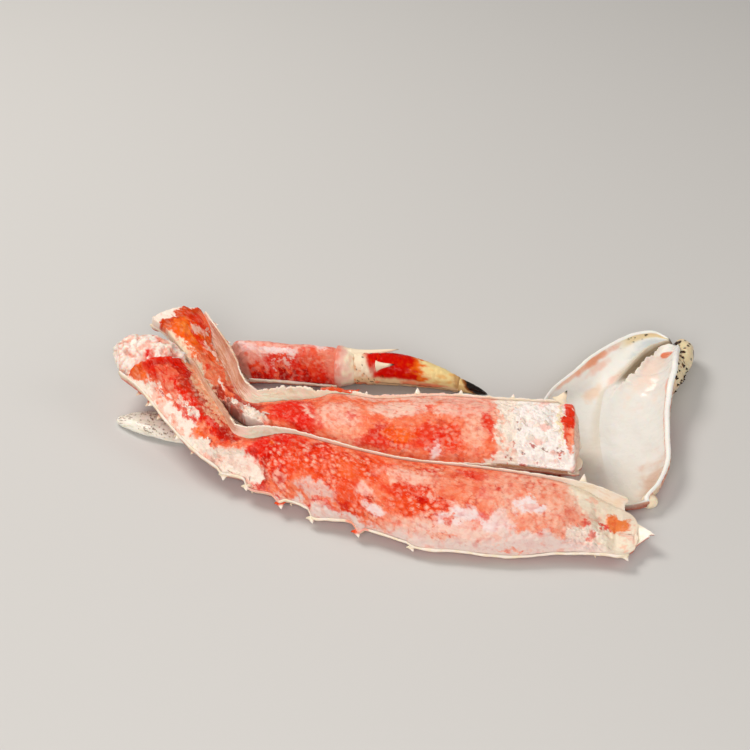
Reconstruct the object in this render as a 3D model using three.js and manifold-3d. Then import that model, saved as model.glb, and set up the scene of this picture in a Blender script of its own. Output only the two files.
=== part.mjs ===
// Cooked king crab legs and claw, cut open lengthwise and laid out in the half shell.
// Millimetres, +Z up. The origin is on the floor, under the middle of the layout's box,
// with +X along the legs and +Y away from the viewer.
import * as THREE from 'three';
import Module from 'manifold-3d';

const wasm = await Module();
wasm.setup();

// Driving dimensions
const shellWall = 1.8;
const meatGap = 0.5;
const skewedMeatGap = 0.8;
const partingGap = 0.42;
const floorClearance = 0.5;
const sideExponent = 0.8;
const ringSpacing = 6.5;
const wallPoints = 12;
const crownSteps = 7;
const crownExponent = 2.4;
const roundedEndScale = 0.35;
const spineSides = 6;
const spineRoot = 1.15;
const rimSpineTurn = 0.13;
const endMargin = 2.5;
const layoutCentre = { x: 16.4, y: -60.78 };

// Colours of the cooked animal
const cookedMeat = { color: 0xe8735a, roughness: 0.35, metalness: 0 };
const flakedMeat = { color: 0xf4e6da, roughness: 0.5, metalness: 0 };
const creamShell = { color: 0xefd9c0, roughness: 0.45, metalness: 0 };
const whiteShell = { color: 0xf3ede0, roughness: 0.25, metalness: 0 };
const redShell = { color: 0xc94a2c, roughness: 0.35, metalness: 0 };
const darkNail = { color: 0x1d1512, roughness: 0.3, metalness: 0 };

// A station is a slice across a shell trough. It gives the two rim points that the cut left,
// the flattening (half height over half width of the whole, uncut section), and where the
// cut meets the section at each rim: degrees below its widest line at the front rim (cut),
// and degrees above it at the back rim (tuck).
const slice = (front, back, flattening, cut, tuck) => ({ front, back, flattening, cut, tuck });

const frontLeg = {
  knee: 62,
  stations: [
    slice([-125.5, -32.5, 26], [-93, -22.5, 29.5], 0.86, 8, 10),
    slice([-116.5, -41, 24.5], [-89.5, -30, 28.8], 0.86, 10, 10),
    slice([-106.5, -54, 20.5], [-83.5, -42, 27.5], 0.86, 12, 10),
    slice([-96, -68, 17], [-75, -55, 24.5], 0.88, 14, 10),
    slice([-85, -80.5, 13.5], [-67.5, -64, 21.5], 0.88, 16, 8),
    slice([-74, -88, 10.5], [-60, -66, 20.5], 0.88, 20, 8),
    slice([-62, -94.5, 8.5], [-53.5, -66, 21], 0.88, 26, 10),
    slice([-43, -107, 7], [-37, -72.5, 23.5], 0.89, 32, 16),
    slice([-21, -116, 6], [-16.5, -83, 25], 0.88, 36, 22),
    slice([10, -130.5, 5.5], [13, -93.5, 25.5], 0.81, 38, 24),
    slice([40.5, -137, 5.5], [43, -98.5, 25.5], 0.79, 38, 24),
    slice([71.5, -138, 5.5], [74, -103.5, 24.5], 0.82, 38, 24),
    slice([97, -138.5, 6], [100, -108, 22], 0.84, 34, 20),
    slice([107.5, -139.5, 7], [111.5, -111.5, 19], 0.76, 24, 16),
    slice([116, -138, 7.5], [119.5, -115, 16], 0.64, 14, 12),
    slice([124.5, -131.5, 8.5], [127, -125, 11], 0.5, 8, 8),
  ],
};

const rearLeg = {
  knee: 56,
  stations: [
    slice([-114, 2, 33], [-87, 13.5, 32], 0.8, -8, 8),
    slice([-107, -1.5, 30], [-83.5, 8.5, 29.5], 0.86, -6, 8),
    slice([-95.5, -14.5, 25.5], [-75, -4.5, 25.5], 0.92, -4, 8),
    slice([-86, -29.5, 21], [-69, -16.5, 22], 0.95, 0, 8),
    slice([-77, -42, 17], [-64.5, -28.5, 19.5], 1, 0, 8),
    slice([-66.5, -52, 14.5], [-58, -32, 18.5], 0.98, 4, 8),
    slice([-50, -61.5, 12.5], [-46, -30.5, 19], 0.93, 8, 10),
    slice([-30.5, -71.5, 12.5], [-28, -36, 21], 0.91, 10, 12),
    slice([-1.5, -83, 14.5], [0, -44.5, 23], 0.91, 10, 14),
    slice([30.5, -88, 16.5], [32, -46, 25.5], 0.8, 6, 14),
    slice([61, -91, 18.5], [63, -53, 28.5], 0.68, 4, 14),
    slice([92, -98.5, 20.5], [95, -60, 32], 0.6, 4, 14),
  ],
};

const tipSegment = {
  stations: [
    slice([-64, -10.8, 8], [-80, 12.7, 10], 0.9, 10, 4),
    slice([-51, -12.6, 8], [-56, 9.3, 10], 0.88, 10, 4),
    slice([-36, -14.7, 8], [-35, 6.4, 10], 0.86, 10, 4),
    slice([-19.5, -17, 8], [-16.8, 3.8, 10], 0.86, 10, 4),
  ],
};

// Across the claw a slice runs from the right rim to the left rim.
const palm = {
  stations: [
    slice([126, -102, 8], [108, -103, 7], 0.62, -8, 6),
    slice([132.5, -94, 9.5], [96, -95, 8], 0.4, -8, 6),
    slice([138.5, -80, 11.5], [86, -81, 9], 0.34, -8, 6),
    slice([141.5, -64, 12.5], [81.5, -62, 10], 0.33, -8, 6),
    slice([143.5, -47, 13.5], [82.5, -44, 11.5], 0.35, -8, 6),
    slice([145.6, -34, 14], [89.2, -29, 12.3], 0.4, -8, 6),
    slice([147.6, -25, 14.5], [101, -15, 13.2], 0.46, -8, 6),
    slice([149, -18, 15], [107.5, -7.5, 13.4], 0.5, -8, 6),
  ],
};

const fixedFinger = {
  stations: [
    slice([116, -25, 3.6], [94.5, -24.5, 12.6], 0.6, 0, 6),
    slice([122.4, -18.5, 5], [102.5, -12.5, 13.2], 0.6, 0, 6),
    slice([129, -11.5, 8.5], [114, -0.5, 13.5], 0.62, 0, 8),
    slice([136, -2.6, 11], [127.5, 10.5, 13.5], 0.7, 0, 10),
    slice([143.6, 5.5, 12.5], [138.5, 17.2, 13], 0.9, 0, 10),
    slice([149.6, 11.8, 12], [147, 19, 12.5], 1.2, 0, 8),
    slice([153.2, 15.6, 11], [152, 18.2, 11], 1.4, 0, 4),
  ],
};

const movingFinger = {
  stations: [
    slice([146.4, -32, 14], [119.8, -28, 3.8], 0.6, -8, 0),
    slice([149, -20.5, 15.4], [127.4, -17.2, 6.8], 0.62, -25, 0),
    slice([151, -10, 17], [133, -11, 9.5], 0.7, -45, 0),
    slice([153.5, 0, 18], [139.6, -4, 11.5], 0.75, -62, 0),
    slice([156.6, 7.4, 17], [146.5, 3.6, 12.5], 0.8, -74, 0),
    slice([162.4, 13.4, 13], [156.4, 11.8, 12], 0.9, -60, 0),
  ],
};

// The parting plane between the palm and the fingers: its level direction and its distance out
const fingerPlane = { direction: [0.213, 0.977, 0], distance: 6 };

// Small seeded random source, so that every build gives the same model
function makeRandom(seed) {
  let state = seed;
  return () => {
    state = (state * 1664525 + 1013904223) % 4294967296;
    return state / 4294967296;
  };
}

// Smooth curve through values at uneven knots, with slopes from the neighbours
function smoothValue(knots, values, s) {
  const last = knots.length - 1;
  let i = 0;
  while (i < last - 1 && s > knots[i + 1]) {
    i += 1;
  }
  const secant = (k) => (values[k + 1] - values[k]) / (knots[k + 1] - knots[k]);
  const slope = (k) => {
    if (k === 0) {
      return secant(0);
    }
    if (k === last) {
      return secant(last - 1);
    }
    return (values[k + 1] - values[k - 1]) / (knots[k + 1] - knots[k - 1]);
  };
  const step = knots[i + 1] - knots[i];
  const t = (s - knots[i]) / step;
  return (
    values[i] * (1 + 2 * t) * (1 - t) ** 2 +
    slope(i) * step * t * (1 - t) ** 2 +
    values[i + 1] * t * t * (3 - 2 * t) +
    slope(i + 1) * step * t * t * (t - 1)
  );
}

// A track turns a list of stations into a smooth run of frames along the trough
function makeTrack(stations) {
  const middles = stations.map((row) =>
    new THREE.Vector3(...row.front).lerp(new THREE.Vector3(...row.back), 0.5));
  const knots = [0];
  for (let i = 1; i < stations.length; i += 1) {
    knots.push(knots[i - 1] + middles[i].distanceTo(middles[i - 1]));
  }
  const value = (pick, s) => smoothValue(knots, stations.map(pick), s);
  const rim = (side, s) => new THREE.Vector3(...[0, 1, 2].map((k) => value((row) => row[side][k], s)));
  const middle = (s) => rim('front', s).lerp(rim('back', s), 0.5);
  const frame = (s) => {
    const chord = rim('back', s).sub(rim('front', s));
    const across = chord.clone().normalize();
    const along = middle(s + 0.5).sub(middle(s - 0.5)).normalize();
    return {
      middle: middle(s),
      across,
      along,
      down: across.clone().cross(along).normalize(),
      width: chord.length(),
      flattening: value((row) => row.flattening, s),
      cut: THREE.MathUtils.degToRad(value((row) => row.cut, s)),
      tuck: THREE.MathUtils.degToRad(value((row) => row.tuck, s)),
    };
  };
  return { length: knots[knots.length - 1], frame };
}

const rounded = (value) => Math.sign(value) * Math.abs(value) ** sideExponent;

// Superellipse section of a trough, turned so that its two rims lie on the slice's chord.
// The angle runs from the front rim, through the belly at a quarter turn, to the back rim.
function troughPoint(frame, angle, inset, lowest) {
  const { cut, tuck, flattening } = frame;
  const run = rounded(Math.cos(cut)) + rounded(Math.cos(tuck));
  const fall = rounded(Math.sin(cut)) + rounded(Math.sin(tuck));
  const halfWidth = frame.width / Math.hypot(run, flattening * fall);
  const halfHeight = flattening * halfWidth;
  const slant = Math.atan2(flattening * fall, run);
  const middleX = (halfWidth * (rounded(Math.cos(tuck)) - rounded(Math.cos(cut)))) / 2;
  const middleY = (halfHeight * (rounded(Math.sin(cut)) - rounded(Math.sin(tuck)))) / 2;
  const x = -(halfWidth - inset) * rounded(Math.cos(angle)) - middleX;
  const y = (halfHeight - inset) * rounded(Math.sin(angle)) - middleY;
  const point = frame.middle.clone()
    .addScaledVector(frame.across, x * Math.cos(slant) - y * Math.sin(slant))
    .addScaledVector(frame.down, x * Math.sin(slant) + y * Math.cos(slant));
  point.z = Math.max(point.z, lowest);
  return point;
}

// Angles from rim to rim, each end drawn in by a sunk length
function troughAngles(frame, count, sunk = 0) {
  const drawIn = (2 * sunk) / frame.width;
  const start = frame.cut + drawIn;
  const sweep = Math.PI + frame.tuck - drawIn - start;
  return Array.from({ length: count }, (_, i) => start + (sweep * i) / (count - 1));
}

// Closed rings joined along the track, capped at both ends, as one solid with faces out
function loftSolid(rings, capFaces) {
  const count = rings[0].length;
  const positions = [];
  const faces = [];
  for (const ring of rings) {
    for (const point of ring) {
      positions.push(point.x, point.y, point.z);
    }
  }
  for (let r = 0; r < rings.length - 1; r += 1) {
    for (let i = 0; i < count; i += 1) {
      const j = (i + 1) % count;
      const a = r * count + i;
      const b = r * count + j;
      faces.push([a, b, b + count], [a, b + count, a + count]);
    }
  }
  const lastRing = (rings.length - 1) * count;
  for (const [a, b, c] of capFaces(count)) {
    faces.push([b, a, c], [a + lastRing, b + lastRing, c + lastRing]);
  }
  return orientedGeometry(positions, faces);
}

// Cap of a wall ring: a strip between its outer half and its inner half
function wallCap(count) {
  const faces = [];
  for (let i = 0; i < count / 2 - 1; i += 1) {
    const inner = count - 1 - i;
    faces.push([i, i + 1, inner - 1], [i, inner - 1, inner]);
  }
  return faces;
}

// Cap of a full ring: strips across it from side to side
function fullCap(count) {
  const faces = [[0, 1, count - 1]];
  let low = 1;
  let high = count - 1;
  while (high - low > 1) {
    faces.push([low, low + 1, high]);
    low += 1;
    if (high - low > 1) {
      faces.push([low, high - 1, high]);
      high -= 1;
    }
  }
  return faces;
}

function signedVolume(positions, faces) {
  let total = 0;
  const corner = (i) => new THREE.Vector3(...positions.slice(3 * i, 3 * i + 3));
  for (const [a, b, c] of faces) {
    total += corner(a).dot(corner(b).cross(corner(c))) / 6;
  }
  return total;
}

function orientedGeometry(positions, faces) {
  const inside = signedVolume(positions, faces) < 0;
  const index = faces.flatMap(([a, b, c]) => (inside ? [a, c, b] : [a, b, c]));
  const geometry = new THREE.BufferGeometry();
  geometry.setAttribute('position', new THREE.Float32BufferAttribute(positions, 3));
  geometry.setIndex(index);
  return geometry;
}

// Even ring places between two lengths along a track
function ringPlaces(from, to) {
  const steps = Math.max(Math.round((to - from) / ringSpacing), 2);
  return Array.from({ length: steps + 1 }, (_, i) => from + ((to - from) * i) / steps);
}

function shellTrough(track, from, to, points = wallPoints) {
  const rings = ringPlaces(from, to).map((s) => {
    const frame = track.frame(s);
    const angles = troughAngles(frame, points);
    const outer = angles.map((angle) => troughPoint(frame, angle, 0, 0));
    const inner = angles.map((angle) => troughPoint(frame, angle, shellWall, shellWall));
    return [...outer, ...inner.reverse()];
  });
  return loftSolid(rings, wallCap);
}

// The meat fills the trough and is crowned above the rims. It is rounded off over its first
// and last few millimetres, where a length for that is given. Where the slices are cut askew,
// their gap is given larger, as it is measured in the slice.
function meatFill(track, from, to, shape) {
  const { sunk, crown, gap = meatGap, roundStart = 0, roundEnd = 0 } = shape;
  const inset = shellWall + gap;
  const shareOf = (reach, length) => (length > 0 ? Math.min(reach / length, 1) : 1);
  const rings = ringPlaces(from, to).map((s) => {
    const frame = track.frame(s);
    const share = Math.min(shareOf(s - from, roundStart), shareOf(to - s, roundEnd));
    const fullness = Math.sqrt(1 - (1 - share) ** 2);
    const scale = roundedEndScale + (1 - roundedEndScale) * fullness;
    const bottom = troughAngles(frame, wallPoints, sunk).map((angle) =>
      troughPoint(frame, angle, inset, inset));
    const front = bottom[0];
    const back = bottom[wallPoints - 1];
    const top = [];
    for (let i = 1; i < crownSteps; i += 1) {
      const t = i / crownSteps;
      const bulge = crown * (1 - Math.abs(2 * t - 1) ** crownExponent);
      top.push(back.clone().lerp(front, t).addScaledVector(frame.down, -bulge));
    }
    const belly = troughPoint(frame, Math.PI / 2, inset, inset);
    const centre = front.clone().lerp(back, 0.5).lerp(belly, 0.3);
    return [...bottom, ...top].map((point) => centre.clone().lerp(point, scale));
  });
  return loftSolid(rings, fullCap);
}

// Outward normal of a trough's outer face, from two short steps along and around it
function troughNormal(track, s, angle) {
  const step = 0.4;
  const turn = 0.02;
  const openFloor = -100;
  const point = (place, around) => troughPoint(track.frame(place), around, 0, openFloor);
  const alongFace = point(s + step, angle).sub(point(s - step, angle));
  const aroundFace = point(s, angle + turn).sub(point(s, angle - turn));
  const normal = alongFace.cross(aroundFace).normalize();
  const centre = track.frame(s).middle.lerp(point(s, Math.PI / 2), 0.3);
  return normal.dot(point(s, angle).sub(centre)) < 0 ? normal.negate() : normal;
}

// A cone standing on a face, its foot sunk into the wall
function coneOn(point, direction, length, radius, root = spineRoot) {
  const geometry = new THREE.ConeGeometry(radius, length + root, spineSides);
  const turn = new THREE.Quaternion().setFromUnitVectors(new THREE.Vector3(0, 1, 0), direction);
  geometry.translate(0, (length + root) / 2 - root, 0);
  geometry.applyQuaternion(turn);
  geometry.translate(point.x, point.y, point.z);
  return geometry;
}

// A spine on the outer face leans a little along the track. One that would touch the floor is left out.
function spineOnTrough(track, s, angle, length, radius, lean = 0.12) {
  const frame = track.frame(s);
  const point = troughPoint(frame, angle, 0, 0);
  const direction = troughNormal(track, s, angle).addScaledVector(frame.along, lean).normalize();
  const tip = point.clone().addScaledVector(direction, length);
  return tip.z > floorClearance ? coneOn(point, direction, length, radius) : null;
}

// Angle of a place that lies a small turn below one of the two rims
const angleFromRim = (frame, side, turn) =>
  (side === 'front' ? frame.cut + turn : Math.PI + frame.tuck - turn);

// Spines standing at a rim, each given by its place along the track and its length
function rimSpines(track, from, to, spines) {
  const footRadius = (length) => 0.6 + 0.36 * length;
  return spines
    .filter((spine) => spine.at > from + endMargin && spine.at < to - endMargin)
    .map((spine) => {
      const angle = angleFromRim(track.frame(spine.at), spine.side, rimSpineTurn);
      return spineOnTrough(track, spine.at, angle, spine.length, footRadius(spine.length));
    });
}

// Rows of spines down a side wall, each varied a little. A row's angle counts from its own rim.
function wallSpines(track, rows, seed) {
  const random = makeRandom(seed);
  const varied = (value, spread) => value * (1 + spread * (2 * random() - 1));
  const spines = [];
  for (const row of rows) {
    for (let s = row.from + random() * 5; s < row.to; s += varied(row.pitch, 0.2)) {
      const angle = angleFromRim(track.frame(s), row.side, varied(row.angle, 0.1));
      spines.push(spineOnTrough(track, s, angle, varied(row.length, 0.25), varied(1.55, 0.1)));
    }
  }
  return spines;
}

// Joins and cuts
function toManifold(geometry) {
  const welded = weld(geometry);
  return new wasm.Manifold(new wasm.Mesh({
    numProp: 3,
    vertProperties: welded.positions,
    triVerts: welded.index,
  }));
}

function weld(geometry) {
  const source = geometry.getAttribute('position');
  const order = geometry.index ? Array.from(geometry.index.array) : [...Array(source.count).keys()];
  const known = new Map();
  const positions = [];
  const shared = order.map((i) => {
    const corner = [source.getX(i), source.getY(i), source.getZ(i)];
    const key = corner.map((value) => value.toFixed(5)).join(' ');
    if (!known.has(key)) {
      known.set(key, positions.length / 3);
      positions.push(...corner);
    }
    return known.get(key);
  });
  const index = [];
  for (let i = 0; i < shared.length; i += 3) {
    const [a, b, c] = shared.slice(i, i + 3);
    if (a !== b && b !== c && c !== a) {
      index.push(a, b, c);
    }
  }
  return { positions: new Float32Array(positions), index: new Uint32Array(index) };
}

function fromManifold(solid) {
  const pieces = solid.decompose().sort((a, b) => b.volume() - a.volume());
  const mesh = pieces[0].getMesh();
  const geometry = new THREE.BufferGeometry();
  geometry.setAttribute('position', new THREE.Float32BufferAttribute(mesh.vertProperties, 3));
  geometry.setIndex(Array.from(mesh.triVerts));
  return geometry;
}

function fuse(base, additions) {
  let solid = toManifold(base);
  for (const addition of additions.filter((part) => part !== null)) {
    solid = solid.add(toManifold(addition));
  }
  return fromManifold(solid);
}

// Keeps what lies beyond an upright plane, on the side its direction points to
function keepBeyond(geometry, direction, distance) {
  return fromManifold(toManifold(geometry).trimByPlane(direction, distance));
}

const layout = new THREE.Group();
layout.position.set(-layoutCentre.x, -layoutCentre.y, 0);

function addNode(name, geometry, finish) {
  const mesh = new THREE.Mesh(geometry, new THREE.MeshStandardMaterial(finish));
  mesh.name = name;
  layout.add(mesh);
}

// Front and rear legs: each is one long trough, parted across the knee
const frontRimSpines = [
  { at: 20, side: 'front', length: 2.2 },
  { at: 43, side: 'front', length: 2.6 },
  { at: 68, side: 'front', length: 3.6 },
  { at: 77, side: 'front', length: 2.6 },
  { at: 94.5, side: 'front', length: 4.2 },
  { at: 109, side: 'front', length: 3.6 },
  { at: 133.5, side: 'front', length: 4.2 },
  { at: 159, side: 'front', length: 3 },
  { at: 184, side: 'front', length: 2.4 },
  { at: 212, side: 'front', length: 2.4 },
  { at: 247, side: 'front', length: 3.2 },
  { at: 237, side: 'back', length: 3.4 },
];
const frontWallSpines = [
  { side: 'front', angle: 0.75, from: 8, to: 60, pitch: 14, length: 2.6 },
];

const rearRimSpines = [
  { at: 10, side: 'back', length: 2.4 },
  { at: 24, side: 'back', length: 2.2 },
  { at: 126, side: 'back', length: 2.2 },
  { at: 152, side: 'back', length: 3.4 },
  { at: 173, side: 'back', length: 3 },
  { at: 198, side: 'back', length: 2.6 },
  { at: 221, side: 'back', length: 4.8 },
];
const rearWallSpines = [
  { side: 'back', angle: 0.7, from: 112, to: 222, pitch: 17, length: 3 },
  { side: 'back', angle: 1.2, from: 120, to: 222, pitch: 19, length: 2.4 },
];

function addLeg(prefix, leg, form) {
  const track = makeTrack(leg.stations);
  const before = leg.knee - partingGap / 2;
  const after = leg.knee + partingGap / 2;
  const lengths = { carpus: [0, before], merus: [after, track.length] };
  for (const [part, [from, to]] of Object.entries(lengths)) {
    const rows = form.wallSpines.map((row) => ({
      ...row,
      from: Math.max(row.from, from + endMargin),
      to: Math.min(row.to, to - endMargin),
    }));
    const spines = [
      ...rimSpines(track, from, to, form.rimSpines),
      ...wallSpines(track, rows.filter((row) => row.to > row.from), form.seed),
    ];
    addNode(`${prefix}_${part}_shell`, fuse(shellTrough(track, from, to), spines), creamShell);
  }
  const carpusMeat = { sunk: 1, crown: 3.5, gap: skewedMeatGap, roundStart: form.meatRound };
  const merusMeat = { sunk: 0.8, crown: 4, roundEnd: form.meatTaper };
  addNode(`${prefix}_carpus_meat`, meatFill(track, form.meatStart, before, carpusMeat), cookedMeat);
  addNode(
    `${prefix}_merus_meat`,
    meatFill(track, after, track.length - form.meatShort, merusMeat),
    cookedMeat,
  );
  return track;
}

const frontTrack = addLeg('leg_front', frontLeg, {
  rimSpines: frontRimSpines,
  wallSpines: frontWallSpines,
  meatStart: 0,
  meatShort: 12,
  meatTaper: 8,
  seed: 11,
});
addLeg('leg_rear', rearLeg, {
  rimSpines: rearRimSpines,
  wallSpines: rearWallSpines,
  meatStart: -3,
  meatRound: 9,
  meatShort: 1,
  meatTaper: 3,
  seed: 29,
});

// White flaked meat standing out of the front leg's cut end, rounded off towards its far end
const flakedEndForm = {
  start: -partingGap,
  reach: 23,
  halfWidth: 14.5,
  halfHeight: 9.4,
  depth: 4,
  drift: 1.5,
  taper: 0.82,
  sides: 14,
  steps: 5,
};

function flakedEnd(track, form) {
  const frame = track.frame(form.start);
  const rings = Array.from({ length: form.steps + 1 }, (_, step) => {
    const share = step / form.steps;
    const fullness = Math.sqrt(1 - (form.taper * share ** 1.6) ** 2);
    const centre = frame.middle.clone()
      .addScaledVector(frame.down, form.depth)
      .addScaledVector(frame.along, -form.reach * share)
      .addScaledVector(frame.across, form.drift * share);
    return Array.from({ length: form.sides }, (_, i) => {
      const angle = (2 * Math.PI * i) / form.sides;
      return centre.clone()
        .addScaledVector(frame.across, form.halfWidth * fullness * Math.cos(angle))
        .addScaledVector(frame.down, form.halfHeight * fullness * Math.sin(angle));
    });
  });
  return loftSolid(rings, fullCap);
}

addNode('leg_front_end_meat', flakedEnd(frontTrack, flakedEndForm), flakedMeat);

// Leg tip: round meat in a shallow half shell, a collar, the last segment and its nail
const tipTrack = makeTrack(tipSegment.stations);
addNode('leg_tip_propodus_shell', shellTrough(tipTrack, 0, tipTrack.length), creamShell);
addNode(
  'leg_tip_propodus_meat',
  meatFill(tipTrack, 0, tipTrack.length, { sunk: 0.6, crown: 13.5, gap: skewedMeatGap }),
  cookedMeat,
);

// A round solid along a line of centres, each with its half height and half width
function roundLoft(sections, sides = 12) {
  const rings = sections.map((section, i) => {
    const from = sections[Math.max(i - 1, 0)];
    const to = sections[Math.min(i + 1, sections.length - 1)];
    const along = new THREE.Vector3(to.x - from.x, to.y - from.y, 0).normalize();
    const side = new THREE.Vector3(-along.y, along.x, 0);
    return Array.from({ length: sides }, (_, k) => {
      const angle = (2 * Math.PI * k) / sides;
      const point = new THREE.Vector3(section.x, section.y, section.z)
        .addScaledVector(side, section.half * Math.cos(angle));
      point.z += section.rise * Math.sin(angle);
      return point;
    });
  });
  return loftSolid(rings, fullCap);
}

const round = (x, y, z, half, rise) => ({ x, y, z, half, rise });
addNode(
  'leg_tip_collar',
  roundLoft([
    round(-17.2, -6.5, 11, 9.2, 10),
    round(-15.8, -6.7, 11, 10, 10.8),
    round(-13, -6.9, 10.8, 9.6, 10.4),
    round(-11.4, -6.9, 10.4, 8.2, 9),
  ]),
  creamShell,
);

const dactylBody = roundLoft([
  round(-10.8, -6.9, 10.2, 8, 8.6),
  round(-2, -6.8, 10.2, 8.2, 8.8),
  round(12, -7.6, 9.6, 7.8, 8.4),
  round(22, -9, 8.6, 7, 7.4),
  round(32, -11.2, 7.2, 5.6, 5.9),
  round(39, -13, 5.8, 4.4, 4.6),
  round(44, -14.3, 4.8, 3.6, 3.8),
]);

// A long spine lies along the top of the last segment and a short one stands on its near side
const dactylSpines = [
  { foot: [-7, -4.6, 17.6], towards: [1, 0.02, 0.12], length: 18.5, radius: 2.2 },
  { foot: [1.5, -12.4, 15.6], towards: [1, -0.15, 0.3], length: 8, radius: 2.2 },
].map((spine) => coneOn(
  new THREE.Vector3(...spine.foot),
  new THREE.Vector3(...spine.towards).normalize(),
  spine.length,
  spine.radius,
  2,
));
addNode('leg_tip_dactyl', fuse(dactylBody, dactylSpines), redShell);

addNode(
  'leg_tip_nail',
  roundLoft([
    round(44.4, -14.4, 4.7, 3.4, 3.6),
    round(49, -15.5, 3.7, 2.5, 2.7),
    round(53.5, -16.8, 2.7, 1.5, 1.7),
    round(57.6, -18.1, 1.7, 0.4, 0.4),
  ], 10),
  darkNail,
);

// Claw: the palm's bowl and the two fingers, each an open trough, parted by one upright plane
const palmTrack = makeTrack(palm.stations);
const fixedTrack = makeTrack(fixedFinger.stations);
const movingTrack = makeTrack(movingFinger.stations);

// Low blunt tubercles scattered over the outer face, near both rims
function tubercles(track, count, seed, from, to) {
  const random = makeRandom(seed);
  const between = (low, high) => low + (high - low) * random();
  return Array.from({ length: count }, () => {
    const s = between(from, to);
    const turn = between(0.15, 0.8);
    const angle = angleFromRim(track.frame(s), random() < 0.5 ? 'front' : 'back', turn);
    return spineOnTrough(track, s, angle, between(1.1, 1.9), between(1.3, 1.6), 0.25);
  });
}

// Knob of the wrist joint, at the near end of the right rim
const knob = { radius: 3.6, stretch: [1, 1.2, 0.9], place: [129, -101, 4.2] };

function wristKnob() {
  const geometry = new THREE.SphereGeometry(knob.radius, 8, 6);
  geometry.scale(...knob.stretch);
  geometry.translate(...knob.place);
  return geometry;
}

const palmBody = fuse(
  shellTrough(palmTrack, 0, palmTrack.length, 16),
  [...tubercles(palmTrack, 12, 61, 8, 90), wristKnob()],
);
const backward = fingerPlane.direction.map((part) => -part);
const palmEnd = fingerPlane.distance - partingGap / 2;
addNode('claw_palm_shell', keepBeyond(palmBody, backward, -palmEnd), whiteShell);

const fingerStart = fingerPlane.distance + partingGap / 2;
for (const [name, track, seed] of [['fixed', fixedTrack, 71], ['moving', movingTrack, 83]]) {
  const body = fuse(
    shellTrough(track, 0, track.length),
    tubercles(track, 7, seed, 14, track.length - 4),
  );
  addNode(`claw_${name}_finger_shell`, keepBeyond(body, fingerPlane.direction, fingerStart), whiteShell);
}

// Shell tip piece under the front leg, a flattened finger end lying hollow side down
addNode(
  'shell_tip_piece',
  roundLoft([
    round(-129.5, -37.5, 1.6, 2, 1.3),
    round(-124, -39.5, 2.4, 5, 2.3),
    round(-116, -41.5, 3, 8, 3),
    round(-107, -44, 3.2, 9.2, 3.2),
    round(-98, -47, 3, 9.5, 3),
    round(-90, -50, 2.2, 7.5, 2.2),
  ]),
  whiteShell,
);

export default layout;
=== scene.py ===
"""Cooked king crab legs and a half claw, cut open and laid out in the half shell."""
import math

import bpy
import numpy as np
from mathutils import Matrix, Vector


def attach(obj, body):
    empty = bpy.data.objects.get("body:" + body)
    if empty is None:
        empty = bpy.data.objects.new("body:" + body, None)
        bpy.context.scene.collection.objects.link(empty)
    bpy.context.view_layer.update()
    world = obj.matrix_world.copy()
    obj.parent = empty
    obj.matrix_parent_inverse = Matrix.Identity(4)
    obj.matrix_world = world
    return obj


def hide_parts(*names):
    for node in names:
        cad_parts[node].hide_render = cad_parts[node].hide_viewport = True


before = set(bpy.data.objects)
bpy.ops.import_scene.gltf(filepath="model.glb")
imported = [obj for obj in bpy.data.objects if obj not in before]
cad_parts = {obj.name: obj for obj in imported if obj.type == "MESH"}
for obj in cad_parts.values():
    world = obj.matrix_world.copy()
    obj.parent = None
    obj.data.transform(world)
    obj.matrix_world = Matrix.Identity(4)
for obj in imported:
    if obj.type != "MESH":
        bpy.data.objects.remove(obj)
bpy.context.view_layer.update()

# Lengths below are millimetres in the layout's own frame. MM and LAYOUT_CENTRE carry them to the row frame.
MM = 0.001
LAYOUT_CENTRE = np.array([16.4, -60.78, 0.0])
SIDE_EXPONENT = 0.8
WALL = 1.2
FLOOR_GAP = 0.25

# Each station of a trough: front rim x y z, back rim x y z, flattening, cut and tuck in degrees
FRONT_LEG = [
    (-125.5, -32.5, 26, -93, -22.5, 29.5, 0.86, 8, 10),
    (-116.5, -41, 24.5, -89.5, -30, 28.8, 0.86, 10, 10),
    (-106.5, -54, 20.5, -83.5, -42, 27.5, 0.86, 12, 10),
    (-96, -68, 17, -75, -55, 24.5, 0.88, 14, 10),
    (-85, -80.5, 13.5, -67.5, -64, 21.5, 0.88, 16, 8),
    (-74, -88, 10.5, -60, -66, 20.5, 0.88, 20, 8),
    (-62, -94.5, 8.5, -53.5, -66, 21, 0.88, 26, 10),
    (-43, -107, 7, -37, -72.5, 23.5, 0.89, 32, 16),
    (-21, -116, 6, -16.5, -83, 25, 0.88, 36, 22),
    (10, -130.5, 5.5, 13, -93.5, 25.5, 0.81, 38, 24),
    (40.5, -137, 5.5, 43, -98.5, 25.5, 0.79, 38, 24),
    (71.5, -138, 5.5, 74, -103.5, 24.5, 0.82, 38, 24),
    (97, -138.5, 6, 100, -108, 22, 0.84, 34, 20),
    (107.5, -139.5, 7, 111.5, -111.5, 19, 0.76, 24, 16),
    (116, -138, 7.5, 119.5, -115, 16, 0.64, 14, 12),
    (124.5, -131.5, 8.5, 127, -125, 11, 0.5, 8, 8),
]
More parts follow.
